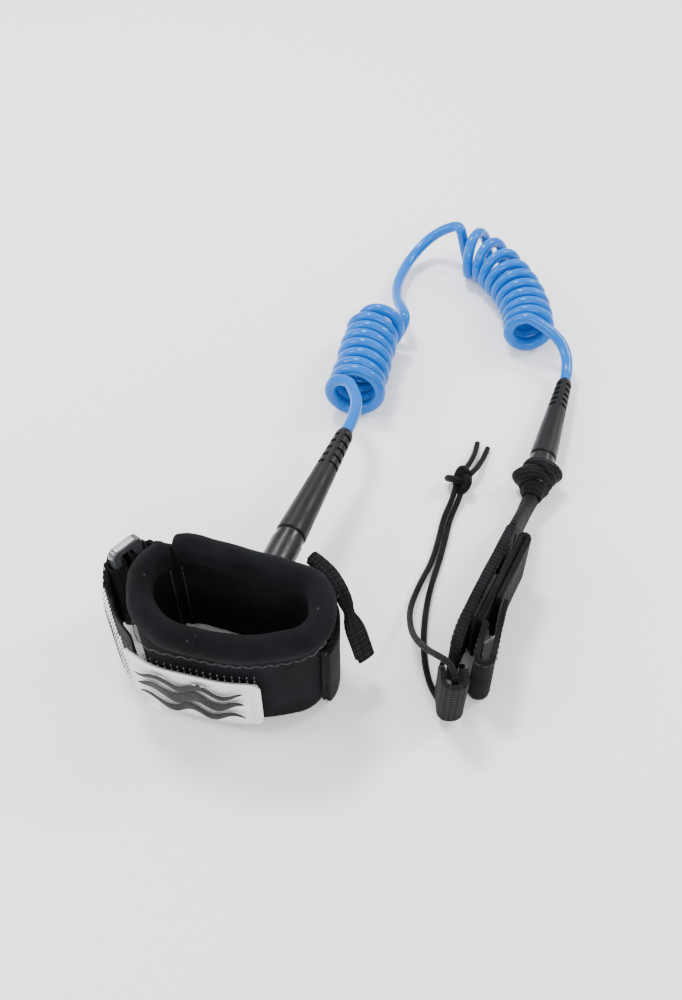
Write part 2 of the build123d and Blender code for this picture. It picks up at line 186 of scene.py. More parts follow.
class Route:
    """A smooth cord line: one NURBS spline through given control points."""

    def __init__(self, name: str, points: Sequence[Vector], cyclic: bool = False, fineness: int = 6) -> None:
        """Make the spline and read its points.

        Args:
            name: name of the curve.
            points: control points in metres in the part's frame.
            cyclic: whether the line closes on itself.
            fineness: points read for each control point.
        """
        curve = bpy.data.curves.new(name, "CURVE")
        curve.dimensions = "3D"
        curve.resolution_u = fineness
        curve.render_resolution_u = fineness
        spline = curve.splines.new("NURBS")
        spline.points.add(len(points) - 1)
        for slot, point in zip(spline.points, points):
            slot.co = (*point, 1.0)
        spline.order_u = 3
        spline.use_cyclic_u = cyclic
        spline.use_endpoint_u = not cyclic
        self.object = bpy.data.objects.new(name, curve)
        bpy.context.scene.collection.objects.link(self.object)
        line = bpy.data.meshes.new_from_object(self.object)
        self.points = [vertex.co.copy() for vertex in line.vertices]
        bpy.data.meshes.remove(line)
        if cyclic:
            self.points.append(self.points[0].copy())
        self.marks = [0.0]
        for before, after in zip(self.points, self.points[1:]):
            self.marks.append(self.marks[-1] + (after - before).length)
        self.length = self.marks[-1]
        self._carry_frames()

    def _carry_frames(self) -> None:
        """Carry a side direction along the line without twist."""
        count = len(self.points)
        self.tangents = [(self.points[min(i + 1, count - 1)] - self.points[max(i - 1, 0)]).normalized()
                         for i in range(count)]
        side = self.tangents[0].cross(UP)
        side = side.normalized() if side.length > 1e-3 else Vector((1.0, 0.0, 0.0))
        self.sides = []
        for tangent in self.tangents:
            side = (side - tangent * side.dot(tangent)).normalized()
            self.sides.append(side.copy())

    def at(self, distance: float) -> tuple[Vector, Vector, Vector]:
        """Point, side and upper direction at a distance along the line."""
        index = min(max(bisect_right(self.marks, distance) - 1, 0), len(self.points) - 2)
        span = max(self.marks[index + 1] - self.marks[index], 1e-9)
        share = min(max((distance - self.marks[index]) / span, 0.0), 1.0)
        spot = self.points[index].lerp(self.points[index + 1], share)
        side = self.sides[index].lerp(self.sides[index + 1], share).normalized()
        tangent = self.tangents[index].lerp(self.tangents[index + 1], share).normalized()
        return spot, side, side.cross(tangent).normalized()

    def discard(self) -> None:
        """Remove the guide curve once a mesh follows it."""
        bpy.data.objects.remove(self.object)


# Mesh operators.

def deselect() -> None:
    """Leave object mode with nothing selected."""
    if bpy.context.object and bpy.context.object.mode != "OBJECT":
        bpy.ops.object.mode_set(mode="OBJECT")
    bpy.ops.object.select_all(action="DESELECT")


def activate(piece: Piece) -> None:
    """Select one piece alone and make it active."""
    deselect()
    piece.select_set(True)
    bpy.context.view_layer.objects.active = piece


def apply_modifier(piece: Piece, kind: str, **settings: object) -> None:
    """Add a modifier with its settings and apply it to the mesh."""
    activate(piece)
    modifier = piece.modifiers.new(kind.title(), kind)
    for key, value in settings.items():
        setattr(modifier, key, value)
    bpy.ops.object.modifier_apply(modifier=modifier.name)


def weld(piece: Piece, distance: float = 1e-6) -> None:
    """Merge doubled vertices and turn all faces outwards."""
    activate(piece)
    bpy.ops.object.mode_set(mode="EDIT")
    bpy.ops.mesh.select_all(action="SELECT")
    bpy.ops.mesh.remove_doubles(threshold=distance)
    bpy.ops.mesh.normals_make_consistent(inside=False)
    bpy.ops.object.mode_set(mode="OBJECT")


def smooth(piece: Piece, angle: float = 40.0) -> None:
    """Shade smooth below an edge angle in degrees."""
    activate(piece)
    bpy.ops.object.shade_smooth_by_angle(angle=radians(angle))


def wrapped(name: str, columns: int, rows: int, surface: Surface, length: float, width: float) -> Piece:
    """Wrap a flat grid onto a surface, its UV map in metres.

    Args:
        name: name of the piece.
        columns: faces along the first direction.
        rows: faces along the second direction.
        surface: gives a point for two shares between 0 and 1.
        length: real length of the first direction.
        width: real length of the second direction.

    Returns:
        The wrapped mesh object.
    """
    deselect()
    bpy.ops.mesh.primitive_grid_add(x_subdivisions=columns, y_subdivisions=rows, size=1.0)
    piece = bpy.context.object
    piece.name = piece.data.name = name
    mesh = piece.data
    shares = [(vertex.co.x + 0.5, vertex.co.y + 0.5) for vertex in mesh.vertices]
    layer = mesh.uv_layers.active.data
    for loop in mesh.loops:
        along, across = shares[loop.vertex_index]
        layer[loop.index].uv = (along * length, across * width)
    for vertex, (along, across) in zip(mesh.vertices, shares):
        vertex.co = surface(along, across)
    return piece


def thicken(piece: Piece, thickness: float, offset: float = 0.0, edge: float = 0.25) -> None:
    """Give a sheet its thickness with softened edges.

    Args:
        piece: the sheet.
        thickness: real thickness in metres.
        offset: -1 to 1, the side that the thickness grows to.
        edge: edge radius as a share of the thickness.
    """
    apply_modifier(piece, "SOLIDIFY", thickness=thickness, offset=offset, use_even_offset=True)
    apply_modifier(piece, "BEVEL", width=thickness * edge, segments=2, limit_method="ANGLE",
                   angle_limit=radians(50))
    smooth(piece, 50)


def tube(name: str, route: Route, radius: float, closed: bool = False) -> Piece:
    """Make a round mesh tube along a route.

    Args:
        name: name of the piece.
        route: the smooth line it follows.
        radius: tube radius.
        closed: whether the tube is a ring; if not, its ends round off.

    Returns:
        The tube.
    """
    length, blunt, face = route.length, 0.0012, 0.0008

    def surface(along: float, around: float) -> Vector:
        """Point on the tube."""
        reach = (along % 1.0 if closed else along) * length
        spot, side, upper = route.at(reach)
        size = radius if closed else radius * closing(min(reach, length - reach), blunt)
        angle = 2 * pi * around
        return spot + (side * cos(angle) + upper * sin(angle)) * size

    piece = wrapped(name, 150 if closed else max(int(length / face), 8), 14, surface, length, 2 * pi * radius)
    weld(piece, 4e-5 if closed else 1e-6)
    smooth(piece, 70 if closed else 60)
    return piece


def stitches(name: str, seams: Sequence[Seam], radius: float) -> Piece:
    """Copy one modelled stitch to each seam step and join them as a single piece.

    Args:
        name: name of the piece.
        seams: start and stop point of each stitch.
        radius: thread radius.

    Returns:
        The row of stitches.
    """
    deselect()
    bpy.ops.mesh.primitive_cylinder_add(vertices=6, radius=1.0, depth=1.0, end_fill_type="TRIFAN")
    pattern = bpy.context.object
    bpy.ops.object.mode_set(mode="EDIT")
    bpy.ops.mesh.select_all(action="SELECT")
    bpy.ops.mesh.subdivide(number_cuts=1)
    bpy.ops.object.mode_set(mode="OBJECT")
    for vertex in pattern.data.vertices:
        pinch = 1.0 - 0.55 * (2 * abs(vertex.co.z)) ** 3
        vertex.co.x *= pinch
        vertex.co.y *= pinch
    base = [vertex.co.copy() for vertex in pattern.data.vertices]
    faces = [tuple(polygon.vertices) for polygon in pattern.data.polygons]
    spots: list[Vector] = []
    joined: list[tuple[int, ...]] = []
    for start, stop in seams:
        run = stop - start
        turn = run.to_track_quat("Z", "Y").to_matrix()
        shift = len(spots)
        middle = (start + stop) / 2
        spots += [middle + turn @ Vector((p.x * radius, p.y * radius, p.z * run.length)) for p in base]
        joined += [tuple(index + shift for index in face) for face in faces]
    mesh = bpy.data.meshes.new(name)
    mesh.from_pydata([tuple(spot) for spot in spots], [], joined)
    old = pattern.data
    pattern.data = mesh
    pattern.name = name
    bpy.data.meshes.remove(old)
    smooth(pattern, 60)
    return pattern


# Shader groups.

class Graph:
    """Short calls that write a node tree."""

    def __init__(self, tree: bpy.types.NodeTree) -> None:
        """Hold the tree."""
        self.tree = tree

    def node(self, kind: str, sockets: dict | None = None, **settings: object) -> bpy.types.Node:
        """Add a node, set its properties, and set or link its inputs."""
        made = self.tree.nodes.new(kind)
        for key, value in settings.items():
            setattr(made, key, value)
        for key, value in (sockets or {}).items():
            self.feed(made.inputs[key], value)
        return made

    def feed(self, socket: Socket, value: object) -> None:
        """Link a socket to another, or set its value."""
        if isinstance(value, Socket):
            self.tree.links.new(value, socket)
        else:
            socket.default_value = (*value, 1.0) if socket.type == "RGBA" else value

    def math(self, operation: str, first: object, second: object = 0.0, third: object = 0.0) -> Socket:
        """Add a Math node and return its output."""
        made = self.node("ShaderNodeMath", {0: first, 1: second, 2: third}, operation=operation)
        return made.outputs[0]

    def noise(self, vector: object, scale: float, detail: float = 4.0, rough: float = 0.55) -> Socket:
        """Add a Noise Texture and return its value."""
        made = self.node("ShaderNodeTexNoise", {"Vector": vector, "Scale": scale, "Detail": detail,
                                                "Roughness": rough})
        return made.outputs[0]

    def span(self, value: object, low: float, high: float, out_low: float = 0.0,
             out_high: float = 1.0) -> Socket:
        """Map a range of values smoothly to another range."""
        made = self.node("ShaderNodeMapRange", {"Value": value, "From Min": low, "From Max": high,
                                                "To Min": out_low, "To Max": out_high},
                         interpolation_type="SMOOTHSTEP")
        return made.outputs[0]

    def blend(self, share: object, first: object, second: object) -> Socket:
        """Mix two colours."""
        made = self.node("ShaderNodeMix", {0: share, 6: first, 7: second}, data_type="RGBA")
        return made.outputs[2]


def new_group(name: str, inputs: Sequence[tuple[str, str]], outputs: Sequence[str]) -> tuple:
    """Start a shader group.

    Args:
        name: name of the group.
        inputs: name and socket kind of each input.
        outputs: names of its value outputs.

    Returns:
        The tree, its graph, its input node and its output node.
    """
    tree = bpy.data.node_groups.new(name, "ShaderNodeTree")
    for label, kind in inputs:
        tree.interface.new_socket(label, in_out="INPUT", socket_type=kind)
    for label in outputs:
        tree.interface.new_socket(label, in_out="OUTPUT", socket_type="NodeSocketFloat")
    graph = Graph(tree)
    return tree, graph, graph.node("NodeGroupInput"), graph.node("NodeGroupOutput")


THREAD_INPUTS = (("Map", "NodeSocketVector"), ("Along", "NodeSocketFloat"), ("Across", "NodeSocketFloat"))


class Effects:
    """Shader groups that more than one finish places."""

    def __init__(self) -> None:
        """Build each group once."""
        self.weave = self._weave()
        self.fuzz = self._fuzz()
        self.scuff = self._scuff()
        self.braid = self._braid()

    @staticmethod
    def _crossing(graph: Graph, result: bpy.types.Node, threads: Sequence, power: float, lift: float,
                  gap: Pair) -> None:
        """Pass two sets of threads over and under each other: their height and the gaps between them."""
        floors = [graph.math("FLOOR", thread) for thread in threads]
        parity = graph.math("PINGPONG", graph.math("ADD", *floors), 1.0)
        over, under = (graph.math("ABSOLUTE", graph.math("SINE", graph.math("MULTIPLY", thread, pi)))
                       for thread in threads)
        first, second = (graph.math("MULTIPLY", graph.math("POWER", upper, power),
                                    graph.math("MULTIPLY_ADD", lower, level, level))
                         for upper, lower, level in ((over, under, 0.5), (under, over, lift)))
        chosen = graph.node("ShaderNodeMix", {0: parity, 2: first, 3: second}, data_type="FLOAT").outputs[0]
        graph.feed(result.inputs["Height"], chosen)
        graph.feed(result.inputs["Gap"], graph.span(chosen, *gap, 1.0, 0.0))

    def _weave(self) -> bpy.types.NodeTree:
        """Plain weave from a metric map: thread height and the gaps between threads."""
        tree, graph, given, result = new_group("woven_threads", THREAD_INPUTS, ["Height", "Gap"])
        parts = graph.node("ShaderNodeSeparateXYZ", {0: given.outputs["Map"]})
        drift = graph.math("MULTIPLY_ADD", graph.noise(given.outputs["Map"], 260.0, 2.0), 0.0004, -0.0002)
        warp = graph.math("DIVIDE", graph.math("ADD", parts.outputs[0], drift), given.outputs["Along"])
        weft = graph.math("DIVIDE", graph.math("ADD", parts.outputs[1], drift), given.outputs["Across"])
        self._crossing(graph, result, (weft, warp), 0.6, 0.4, (0.05, 0.5))
        return tree

    def _braid(self) -> bpy.types.NodeTree:
        """Round braid from a metric map: strands that cross in two directions."""
        tree, graph, given, result = new_group("crossed_strands", THREAD_INPUTS, ["Height", "Gap"])
        parts = graph.node("ShaderNodeSeparateXYZ", {0: given.outputs["Map"]})
        along = graph.math("DIVIDE", parts.outputs[0], given.outputs["Along"])
        around = graph.math("DIVIDE", parts.outputs[1], given.outputs["Across"])
        strands = (graph.math("ADD", along, around), graph.math("SUBTRACT", along, around))
        self._crossing(graph, result, strands, 0.5, 0.5, (0.1, 0.55))
        return tree

    @staticmethod
    def _fuzz() -> bpy.types.NodeTree:
        """Lint and nap: fine pile height, broad shading and sparse pale fibres."""
        tree, graph, given, result = new_group("lint_and_nap", [("Map", "NodeSocketVector"),
                                                                ("Size", "NodeSocketFloat")],
                                               ["Pile", "Shade", "Lint"])
        grown = graph.node("ShaderNodeVectorMath", {0: given.outputs["Map"], 3: given.outputs["Size"]},
                           operation="SCALE").outputs[0]
        graph.feed(result.inputs["Pile"], graph.noise(grown, 2600.0, 3.0, 0.7))
        graph.feed(result.inputs["Shade"], graph.span(graph.noise(grown, 60.0, 4.0), 0.3, 0.72))
        specks = graph.node("ShaderNodeTexVoronoi", {"Vector": grown, "Scale": 300.0, "Randomness": 1.0})
        rare = graph.span(graph.noise(grown, 170.0, 1.0), 0.62, 0.7)
        dots = graph.span(specks.outputs["Distance"], 0.1, 0.2, 1.0, 0.0)
        graph.feed(result.inputs["Lint"], graph.math("MULTIPLY", dots, rare))
        return tree

    @staticmethod
    def _scuff() -> bpy.types.NodeTree:
        """Handling marks on smooth mouldings: scratches, smudges and dust."""
        tree, graph, given, result = new_group("handling_marks", [("Map", "NodeSocketVector")],
                                               ["Scratch", "Smudge", "Dust"])
        where = given.outputs["Map"]
        stretched = graph.node("ShaderNodeMapping", {"Vector": where, "Scale": (1.0, 0.12, 1.0),
                                                     "Rotation": (0.2, 0.1, 0.6)}).outputs[0]
        for output, vector, scale, detail, low, high in (("Scratch", stretched, 900.0, 2.0, 0.66, 0.76),
                                                         ("Smudge", where, 110.0, 5.0, 0.3, 0.75),
                                                         ("Dust", where, 2100.0, 1.0, 0.72, 0.8)):
            graph.feed(result.inputs[output], graph.span(graph.noise(vector, scale, detail), low, high))
        return tree


# Finishes.

Colour = tuple[float, float, float]


class Weave(Enum):
    """How a cloth finish is made up."""

    PLAIN = "plain"
    BRAID = "braid"
    JERSEY = "jersey"
    PILE = "pile"


def start_material(name: str, **constants: object) -> tuple:
    """Start a material with its constant values on the shader's own sockets.

    Args:
        name: name of the material.
        constants: shader socket names, with underscores for spaces, and their values.

    Returns:
        The material, its graph and its shader.
    """
    material = bpy.data.materials.new(name)
    material.use_nodes = True
    graph = Graph(material.node_tree)
    shader = material.node_tree.nodes["Principled BSDF"]
    for key, value in constants.items():
        shader.inputs[key.replace("_", " ")].default_value = value
    return material, graph, shader


@dataclass(frozen=True)
class ClothFinish:
    """A textile: thread colours, make-up, thread spacing and relief."""

    name: str
    weave: Weave
    dark: Colour
    light: Colour
    along: float = 0.001
    across: float = 0.001
    relief: float = 0.0004
    sheen: float = 0.35
    roughness: Pair = (0.72, 0.95)

    def build(self, effects: Effects) -> bpy.types.Material:
        """Write the material."""
        material, graph, shader = start_material(self.name, Sheen_Weight=self.sheen, Sheen_Roughness=0.45,
                                                 Specular_IOR_Level=0.1)
        where = graph.node("ShaderNodeTexCoord")
        metric = where.outputs["UV"]
        fuzz = graph.node("ShaderNodeGroup", {"Map": where.outputs["Object"], "Size": 1.0},
                          node_tree=effects.fuzz)
        if self.weave is Weave.PILE:
            height = graph.noise(metric, 1500.0, 3.0, 0.8)
            gap = graph.span(height, 0.35, 0.55, 1.0, 0.0)
        else:
            threads = effects.weave if self.weave is Weave.PLAIN else effects.braid
            made = graph.node("ShaderNodeGroup", {"Map": metric, "Along": self.along, "Across": self.across},
                              node_tree=threads)
            height, gap = made.outputs["Height"], made.outputs["Gap"]
        base = graph.blend(fuzz.outputs["Shade"], self.dark, self.light)
        # Painted shade: the gaps between threads, and the low pile, are darkened towards a third of the dark
        # thread colour.
        painted_gap_shade = graph.blend(graph.math("MULTIPLY", gap, 0.75), base, tuple(0.35 * c for c in self.dark))
        pale = tuple(min(1.0, 5.0 * c + 0.04) for c in self.light)
        linted = graph.blend(graph.math("MULTIPLY", fuzz.outputs["Lint"], 0.45), painted_gap_shade, pale)
        graph.feed(shader.inputs["Base Color"], linted)
        smoothest, roughest = self.roughness
        graph.feed(shader.inputs["Roughness"], graph.span(height, 0.0, 1.0, roughest, smoothest))
        relief = graph.math("MULTIPLY_ADD", fuzz.outputs["Pile"], 0.35, height)
        bump = graph.node("ShaderNodeBump", {"Height": relief, "Strength": 0.8, "Distance": self.relief})
        graph.feed(shader.inputs["Normal"], bump.outputs[0])
        return material


@dataclass(frozen=True)
class MouldedFinish:
    """A moulded or turned piece: colour, gloss, grain and handling marks."""

    name: str
    colour: Colour
    worn: Colour
    roughness: Pair
    grain: float = 0.00004
    grain_scale: float = 1500.0
    coat: float = 0.0
    metallic: float = 0.0
    marks: float = 0.35
    mirror: float = 0.5

    def build(self, effects: Effects) -> bpy.types.Material:
        """Write the material."""
        material, graph, shader = start_material(self.name, Metallic=self.metallic, Coat_Weight=self.coat,
                                                 Coat_Roughness=0.06, Specular_IOR_Level=self.mirror)
        where = graph.node("ShaderNodeTexCoord").outputs["Object"]
        marks = graph.node("ShaderNodeGroup", {"Map": where}, node_tree=effects.scuff)
        worn = graph.math("MULTIPLY", marks.outputs["Smudge"], self.marks)
        toned = graph.blend(worn, self.colour, self.worn)
        dusty = graph.blend(graph.math("MULTIPLY", marks.outputs["Dust"], self.marks * 0.35), toned,
                            (0.5, 0.5, 0.5))
        graph.feed(shader.inputs["Base Color"], dusty)
        rough = graph.span(marks.outputs["Smudge"], 0.0, 1.0, *self.roughness)
        scratched = graph.math("MULTIPLY_ADD", marks.outputs["Scratch"], 0.12, rough)
        graph.feed(shader.inputs["Roughness"], scratched)
        height = graph.noise(where, self.grain_scale, 3.0, 0.6)
        bump = graph.node("ShaderNodeBump", {"Height": height, "Strength": 0.6, "Distance": self.grain})
        graph.feed(shader.inputs["Normal"], bump.outputs[0])
        return material


class Finishes:
    """Every finish of the leash, built once."""

    def __init__(self) -> None:
        """Build the groups and the materials."""
        effects = Effects()
        ink = (0.0016, 0.0017, 0.0022)
        coal = (0.0085, 0.009, 0.011)
        cloths = [
            ClothFinish("neoprene_jersey", Weave.JERSEY, (0.0022, 0.0025, 0.0036), (0.0058, 0.0066, 0.0095),
                        0.0007, 0.0011, 0.00030, 0.02, (0.8, 0.97)),
            ClothFinish("coarse_webbing", Weave.PLAIN, ink, coal, 0.0019, 0.0014, 0.0011, 0.03, (0.55, 0.85)),
            ClothFinish("fine_webbing", Weave.PLAIN, ink, coal, 0.0011, 0.0008, 0.0006, 0.03, (0.55, 0.85)),
            ClothFinish("ribbed_elastic", Weave.PLAIN, ink, coal, 0.00105, 0.0010, 0.0006, 0.03, (0.6, 0.9)),
            ClothFinish("brushed_tape", Weave.PILE, ink, (0.010, 0.0105, 0.012), relief=0.0003, sheen=0.03),
            ClothFinish("hook_tape", Weave.PLAIN, ink, (0.02, 0.02, 0.022), 0.0014, 0.0011, 0.0006, 0.1,
                        (0.4, 0.6)),
            ClothFinish("braided_string", Weave.BRAID, ink, (0.014, 0.0145, 0.017), 0.0019, 0.0011, 0.0006,
                        0.03, (0.5, 0.8)),
            ClothFinish("sewing_thread", Weave.PILE, (0.012, 0.013, 0.015), (0.040, 0.042, 0.048),
                        relief=0.0001, roughness=(0.45, 0.6)),
            ClothFinish("badge_thread", Weave.PILE, (0.55, 0.55, 0.54), (0.75, 0.75, 0.73),
                        relief=0.0001, roughness=(0.45, 0.6)),
        ]
        mouldings = [
            MouldedFinish("clear_blue_urethane", (0.0, 0.125, 0.50), (0.0, 0.145, 0.56), (0.08, 0.16),
                          0.00001, 700.0, 0.1, marks=0.4, mirror=0.22),
            MouldedFinish("boot_rubber", (0.0022, 0.0022, 0.0026), (0.006, 0.006, 0.007), (0.38, 0.52),
                          mirror=0.25),
            MouldedFinish("collar_plastic", (0.003, 0.003, 0.0036), (0.008, 0.008, 0.009), (0.26, 0.42),
                          mirror=0.35),
            MouldedFinish("ring_plastic", (0.05, 0.053, 0.06), (0.09, 0.093, 0.10), (0.12, 0.24), coat=0.6),
            MouldedFinish("badge_rubber", (0.78, 0.78, 0.765), (0.66, 0.655, 0.63), (0.42, 0.6),
                          0.00005, 900.0, marks=0.3),
            MouldedFinish("badge_ink", (0.003, 0.003, 0.0035), (0.008, 0.008, 0.009), (0.4, 0.55),
                          mirror=0.2),
            MouldedFinish("brushed_steel", (0.55, 0.56, 0.58), (0.4, 0.41, 0.43), (0.22, 0.38),
                          metallic=1.0),
            MouldedFinish("turned_brass", (0.72, 0.52, 0.24), (0.5, 0.36, 0.18), (0.25, 0.4),
                          metallic=1.0),
        ]
        self.made = {finish.name: finish.build(effects) for finish in (*cloths, *mouldings)}

    def dress(self, piece: Piece, finish: str, slot: str | None = None) -> Piece:
        """Put a finish on a piece."""
        piece.data.materials.clear()
        piece.data.materials.append(self.made[finish])
        return piece

    def settle(self, piece: Piece, finish: str, slot: str, *nodes: str) -> Piece:
        """Dress a soft piece, ride it on the root body, and let it stand for its CAD nodes."""
        self.dress(piece, finish, slot)
        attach(piece, "root")
        if nodes:
            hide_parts(*nodes)
        return piece


# Studio.

@dataclass
class Studio:
    """Pale floor, soft lights and the camera."""

    camera_place: tuple[float, float, float] = (-0.0140, -0.2851, 0.37501)
    camera_tilt: float = 39.5
    floor_size: float = 6.0

    def build(self) -> None:
        """Set up the floor, world, lights and camera."""
        self._camera()
        self._floor()
        self._world()
        self._light("key_light", (-0.30, 0.55, 1.05), (0.0, 0.05, 0.0), (0.30, 0.22), 13.0)
        self._light("left_light", (-1.1, 0.0, 0.8), (-0.05, 0.0, 0.02), (0.3, 0.6), 8.0)
        self._light("right_light", (0.95, 0.45, 0.9), (0.03, 0.08, 0.0), (0.25, 0.4), 9.0)
        self._light("front_light", (0.1, -1.2, 0.95), (-0.02, -0.05, 0.02), (0.9, 0.4), 9.0)

    def _camera(self) -> None:
        """Place the camera."""
        data = bpy.data.cameras.new("camera")
        data.lens = 36.0
        data.sensor_width = 36.0
        camera = bpy.data.objects.new("camera", data)
        camera.location = placed(*self.camera_place)
        camera.rotation_euler = (radians(self.camera_tilt), 0.0, 0.0)
        bpy.context.scene.collection.objects.link(camera)
        bpy.context.scene.camera = camera

    def _floor(self) -> None:
        """Lay the floor."""
        deselect()
        bpy.ops.mesh.primitive_plane_add(size=self.floor_size)
        floor = bpy.context.object
        floor.name = "floor"
        material, graph, shader = start_material("pale_floor", Specular_IOR_Level=0.2)
        where = graph.node("ShaderNodeTexCoord").outputs["Object"]
        cloud = graph.noise(where, 3.0, 2.0)
        graph.feed(shader.inputs["Base Color"], graph.blend(cloud, (0.97, 0.97, 0.97), (0.985, 0.985, 0.985)))
        graph.feed(shader.inputs["Roughness"], graph.span(cloud, 0.0, 1.0, 0.8, 0.9))
        floor.data.materials.append(material)

    @staticmethod
    def _world() -> None:
        """Light the room evenly."""
        world = bpy.data.worlds.new("room")
        world.use_nodes = True
        background = world.node_tree.nodes["Background"]
        background.inputs["Color"].default_value = (1.0, 1.0, 1.0, 1.0)
        background.inputs["Strength"].default_value = 1.15
        bpy.context.scene.world = world

    @staticmethod
    def _light(name: str, place: tuple, aim: tuple, size: Pair, power: float) -> None:
        """Hang one soft panel that faces a point."""
        data = bpy.data.lights.new(name, "AREA")
        data.shape = "RECTANGLE"
        data.size, data.size_y = size
        data.energy = power
        light = bpy.data.objects.new(name, data)
        light.location = place
        light.rotation_euler = (Vector(aim) - Vector(place)).to_track_quat("-Z", "Y").to_euler()
        bpy.context.scene.collection.objects.link(light)


# Main cord.

@dataclass
class CoiledCord:
    """The urethane cord: lead, near coil, bridge, far coil and tail, on one spline."""

    diameter: float = 0.006
    per_turn: int = 16
    near_start: Pair = (-0.0080, 0.0767)
    near_heading: float = 78.2
    near_radius: float = 0.0119
    near_pitch: float = 0.0071
    near_turns: float = 8.75
    far_start: Pair = (0.056, 0.2085)
    far_heading: float = -38.0
    far_sweep: float = -62.0
    far_bend: float = 0.085
    far_radius: float = 0.0108
    far_turns: float = 10.12
    far_pitches: Pair = (0.0106, 0.0066)
    far_lean: float = 26.0
    far_tilt: float = 14.0
    lead_points: tuple = ((-0.0062, 0.0650, 0.0284), (-0.0085, 0.0735, 0.0276), (-0.0103, 0.0782, 0.0274))
    bridge_points: tuple = ((0.0214, 0.1385, 0.0165), (0.0202, 0.149, 0.0145), (0.0180, 0.160, 0.0108),
                            (0.0178, 0.172, 0.0078), (0.0193, 0.184, 0.0065), (0.025, 0.200, 0.0065),
                            (0.0326, 0.211, 0.0095), (0.041, 0.2162, 0.015), (0.0485, 0.2154, 0.0205),
                            (0.0545, 0.2128, 0.0243))
    tail_points: tuple = ((0.1025, 0.1225, 0.0175), (0.1064, 0.113, 0.013))

    def _turn_point(self, centre: Vector, direction: Vector, radius: float, turn: float,
                    upright: Vector = UP) -> Vector:
        """Point of a left-handed winding about an axis, starting at its top."""
        side = rightward(direction)
        angle = 2 * pi * turn
        drawn = radius / cos(pi / self.per_turn)
        return centre + (upright * cos(angle) - side * sin(angle)) * drawn

    def near_coil(self) -> list[Vector]:
        """Control points of the tight straight coil, its first turn wide and its last pulled aside."""
        direction = heading(self.near_heading)
        side = rightward(direction)
        start = placed(*self.near_start, 0.0)
        points = []
        for step in range(2, int(self.near_turns * self.per_turn) - 1):
            turn = step / self.per_turn
            reach = self.diameter / 2 + turn * self.near_pitch
            flare = 0.0008 * (1.0 - ease(turn, 0.2, 1.4))
            wander = 0.0004 * sin(2.4 * turn) * ease(turn, 1.0, 2.0)
            pulled = 0.0042 * ease(turn, 6.9, 8.6)
            radius = self.near_radius - abs(wander) + flare
            centre = start + direction * reach + side * (wander + pulled) + UP * (radius + self.diameter / 2)
            points.append(self._turn_point(centre, direction, radius, turn))
        return points

    def far_coil(self) -> list[Vector]:
        """Control points of the bent coil, whose first turns are loose and face aside."""
        hub = placed(*self.far_start, 0.0) + heading(self.far_heading - 90) * self.far_bend
        points = []
        widest, tightest = self.far_pitches
        slope = (tightest - widest) / self.far_turns
        for step in range(1, int(self.far_turns * self.per_turn)):
            turn = step / self.per_turn
            reach = self.diameter / 2 + widest * turn + slope * turn * turn / 2
            angle = self.far_heading + 90 + copysign(degrees(reach / self.far_bend), self.far_sweep)
            along = heading(angle - 90)
            loose = 1.0 - ease(turn, 0.6, 4.2)
            facing = heading(angle - 90 + self.far_lean * loose)
            radius = self.far_radius + 0.0010 * loose
            back = radians(self.far_tilt * loose)
            height = radius * cos(back)
            centre = hub + heading(angle) * self.far_bend + UP * (height + self.diameter / 2)
            upright = (UP * cos(back) - along * sin(back)).normalized()
            point = self._turn_point(centre, facing, radius, turn, upright)
            dropped = 1.0 - ease(turn, 0.32, 0.62)
            side = rightward(facing)
            point -= side * (point - centre).dot(side) * 0.85 * dropped
            point += side * 0.0030 * hump(turn, 0.52, 0.34) - along * 0.002 * hump(turn, 0.3, 0.3)
            points.append(point)
        return points

    def route(self) -> list[Vector]:
        """All control points from boot to boot."""
        cuff_tip, board_tip = CUFF_SWIVEL.boot, BOARD_SWIVEL.boot
        lead = [CUFF_SWIVEL.along(cuff_tip + 0.0003), CUFF_SWIVEL.along(cuff_tip + 0.012)]
        lead += [placed(*point) for point in self.lead_points]
        bridge = [placed(*point) for point in self.bridge_points]
        tail = [placed(*point) for point in self.tail_points]
        tail += [BOARD_SWIVEL.along(board_tip + 0.006), BOARD_SWIVEL.along(board_tip + 0.0003)]
        return lead + self.near_coil() + bridge + self.far_coil() + tail

    def build(self, finishes: Finishes) -> Piece:
        route = Route("coiled_cord", self.route(), fineness=5)
        cord = route.object
        cord.data.bevel_depth = self.diameter / 2
        cord.data.bevel_resolution = 6
        cord.data.use_fill_caps = True
        finishes.settle(cord, "clear_blue_urethane", "cord_urethane",
                        "cord_lead", "cuff_coil", "cord_bridge", "board_coil", "cord_tail")
        tip = CUFF_SWIVEL.along(CUFF_SWIVEL.boot)
        LOG.info("coiled cord %.3f m", route.length)
        return cord


# String.

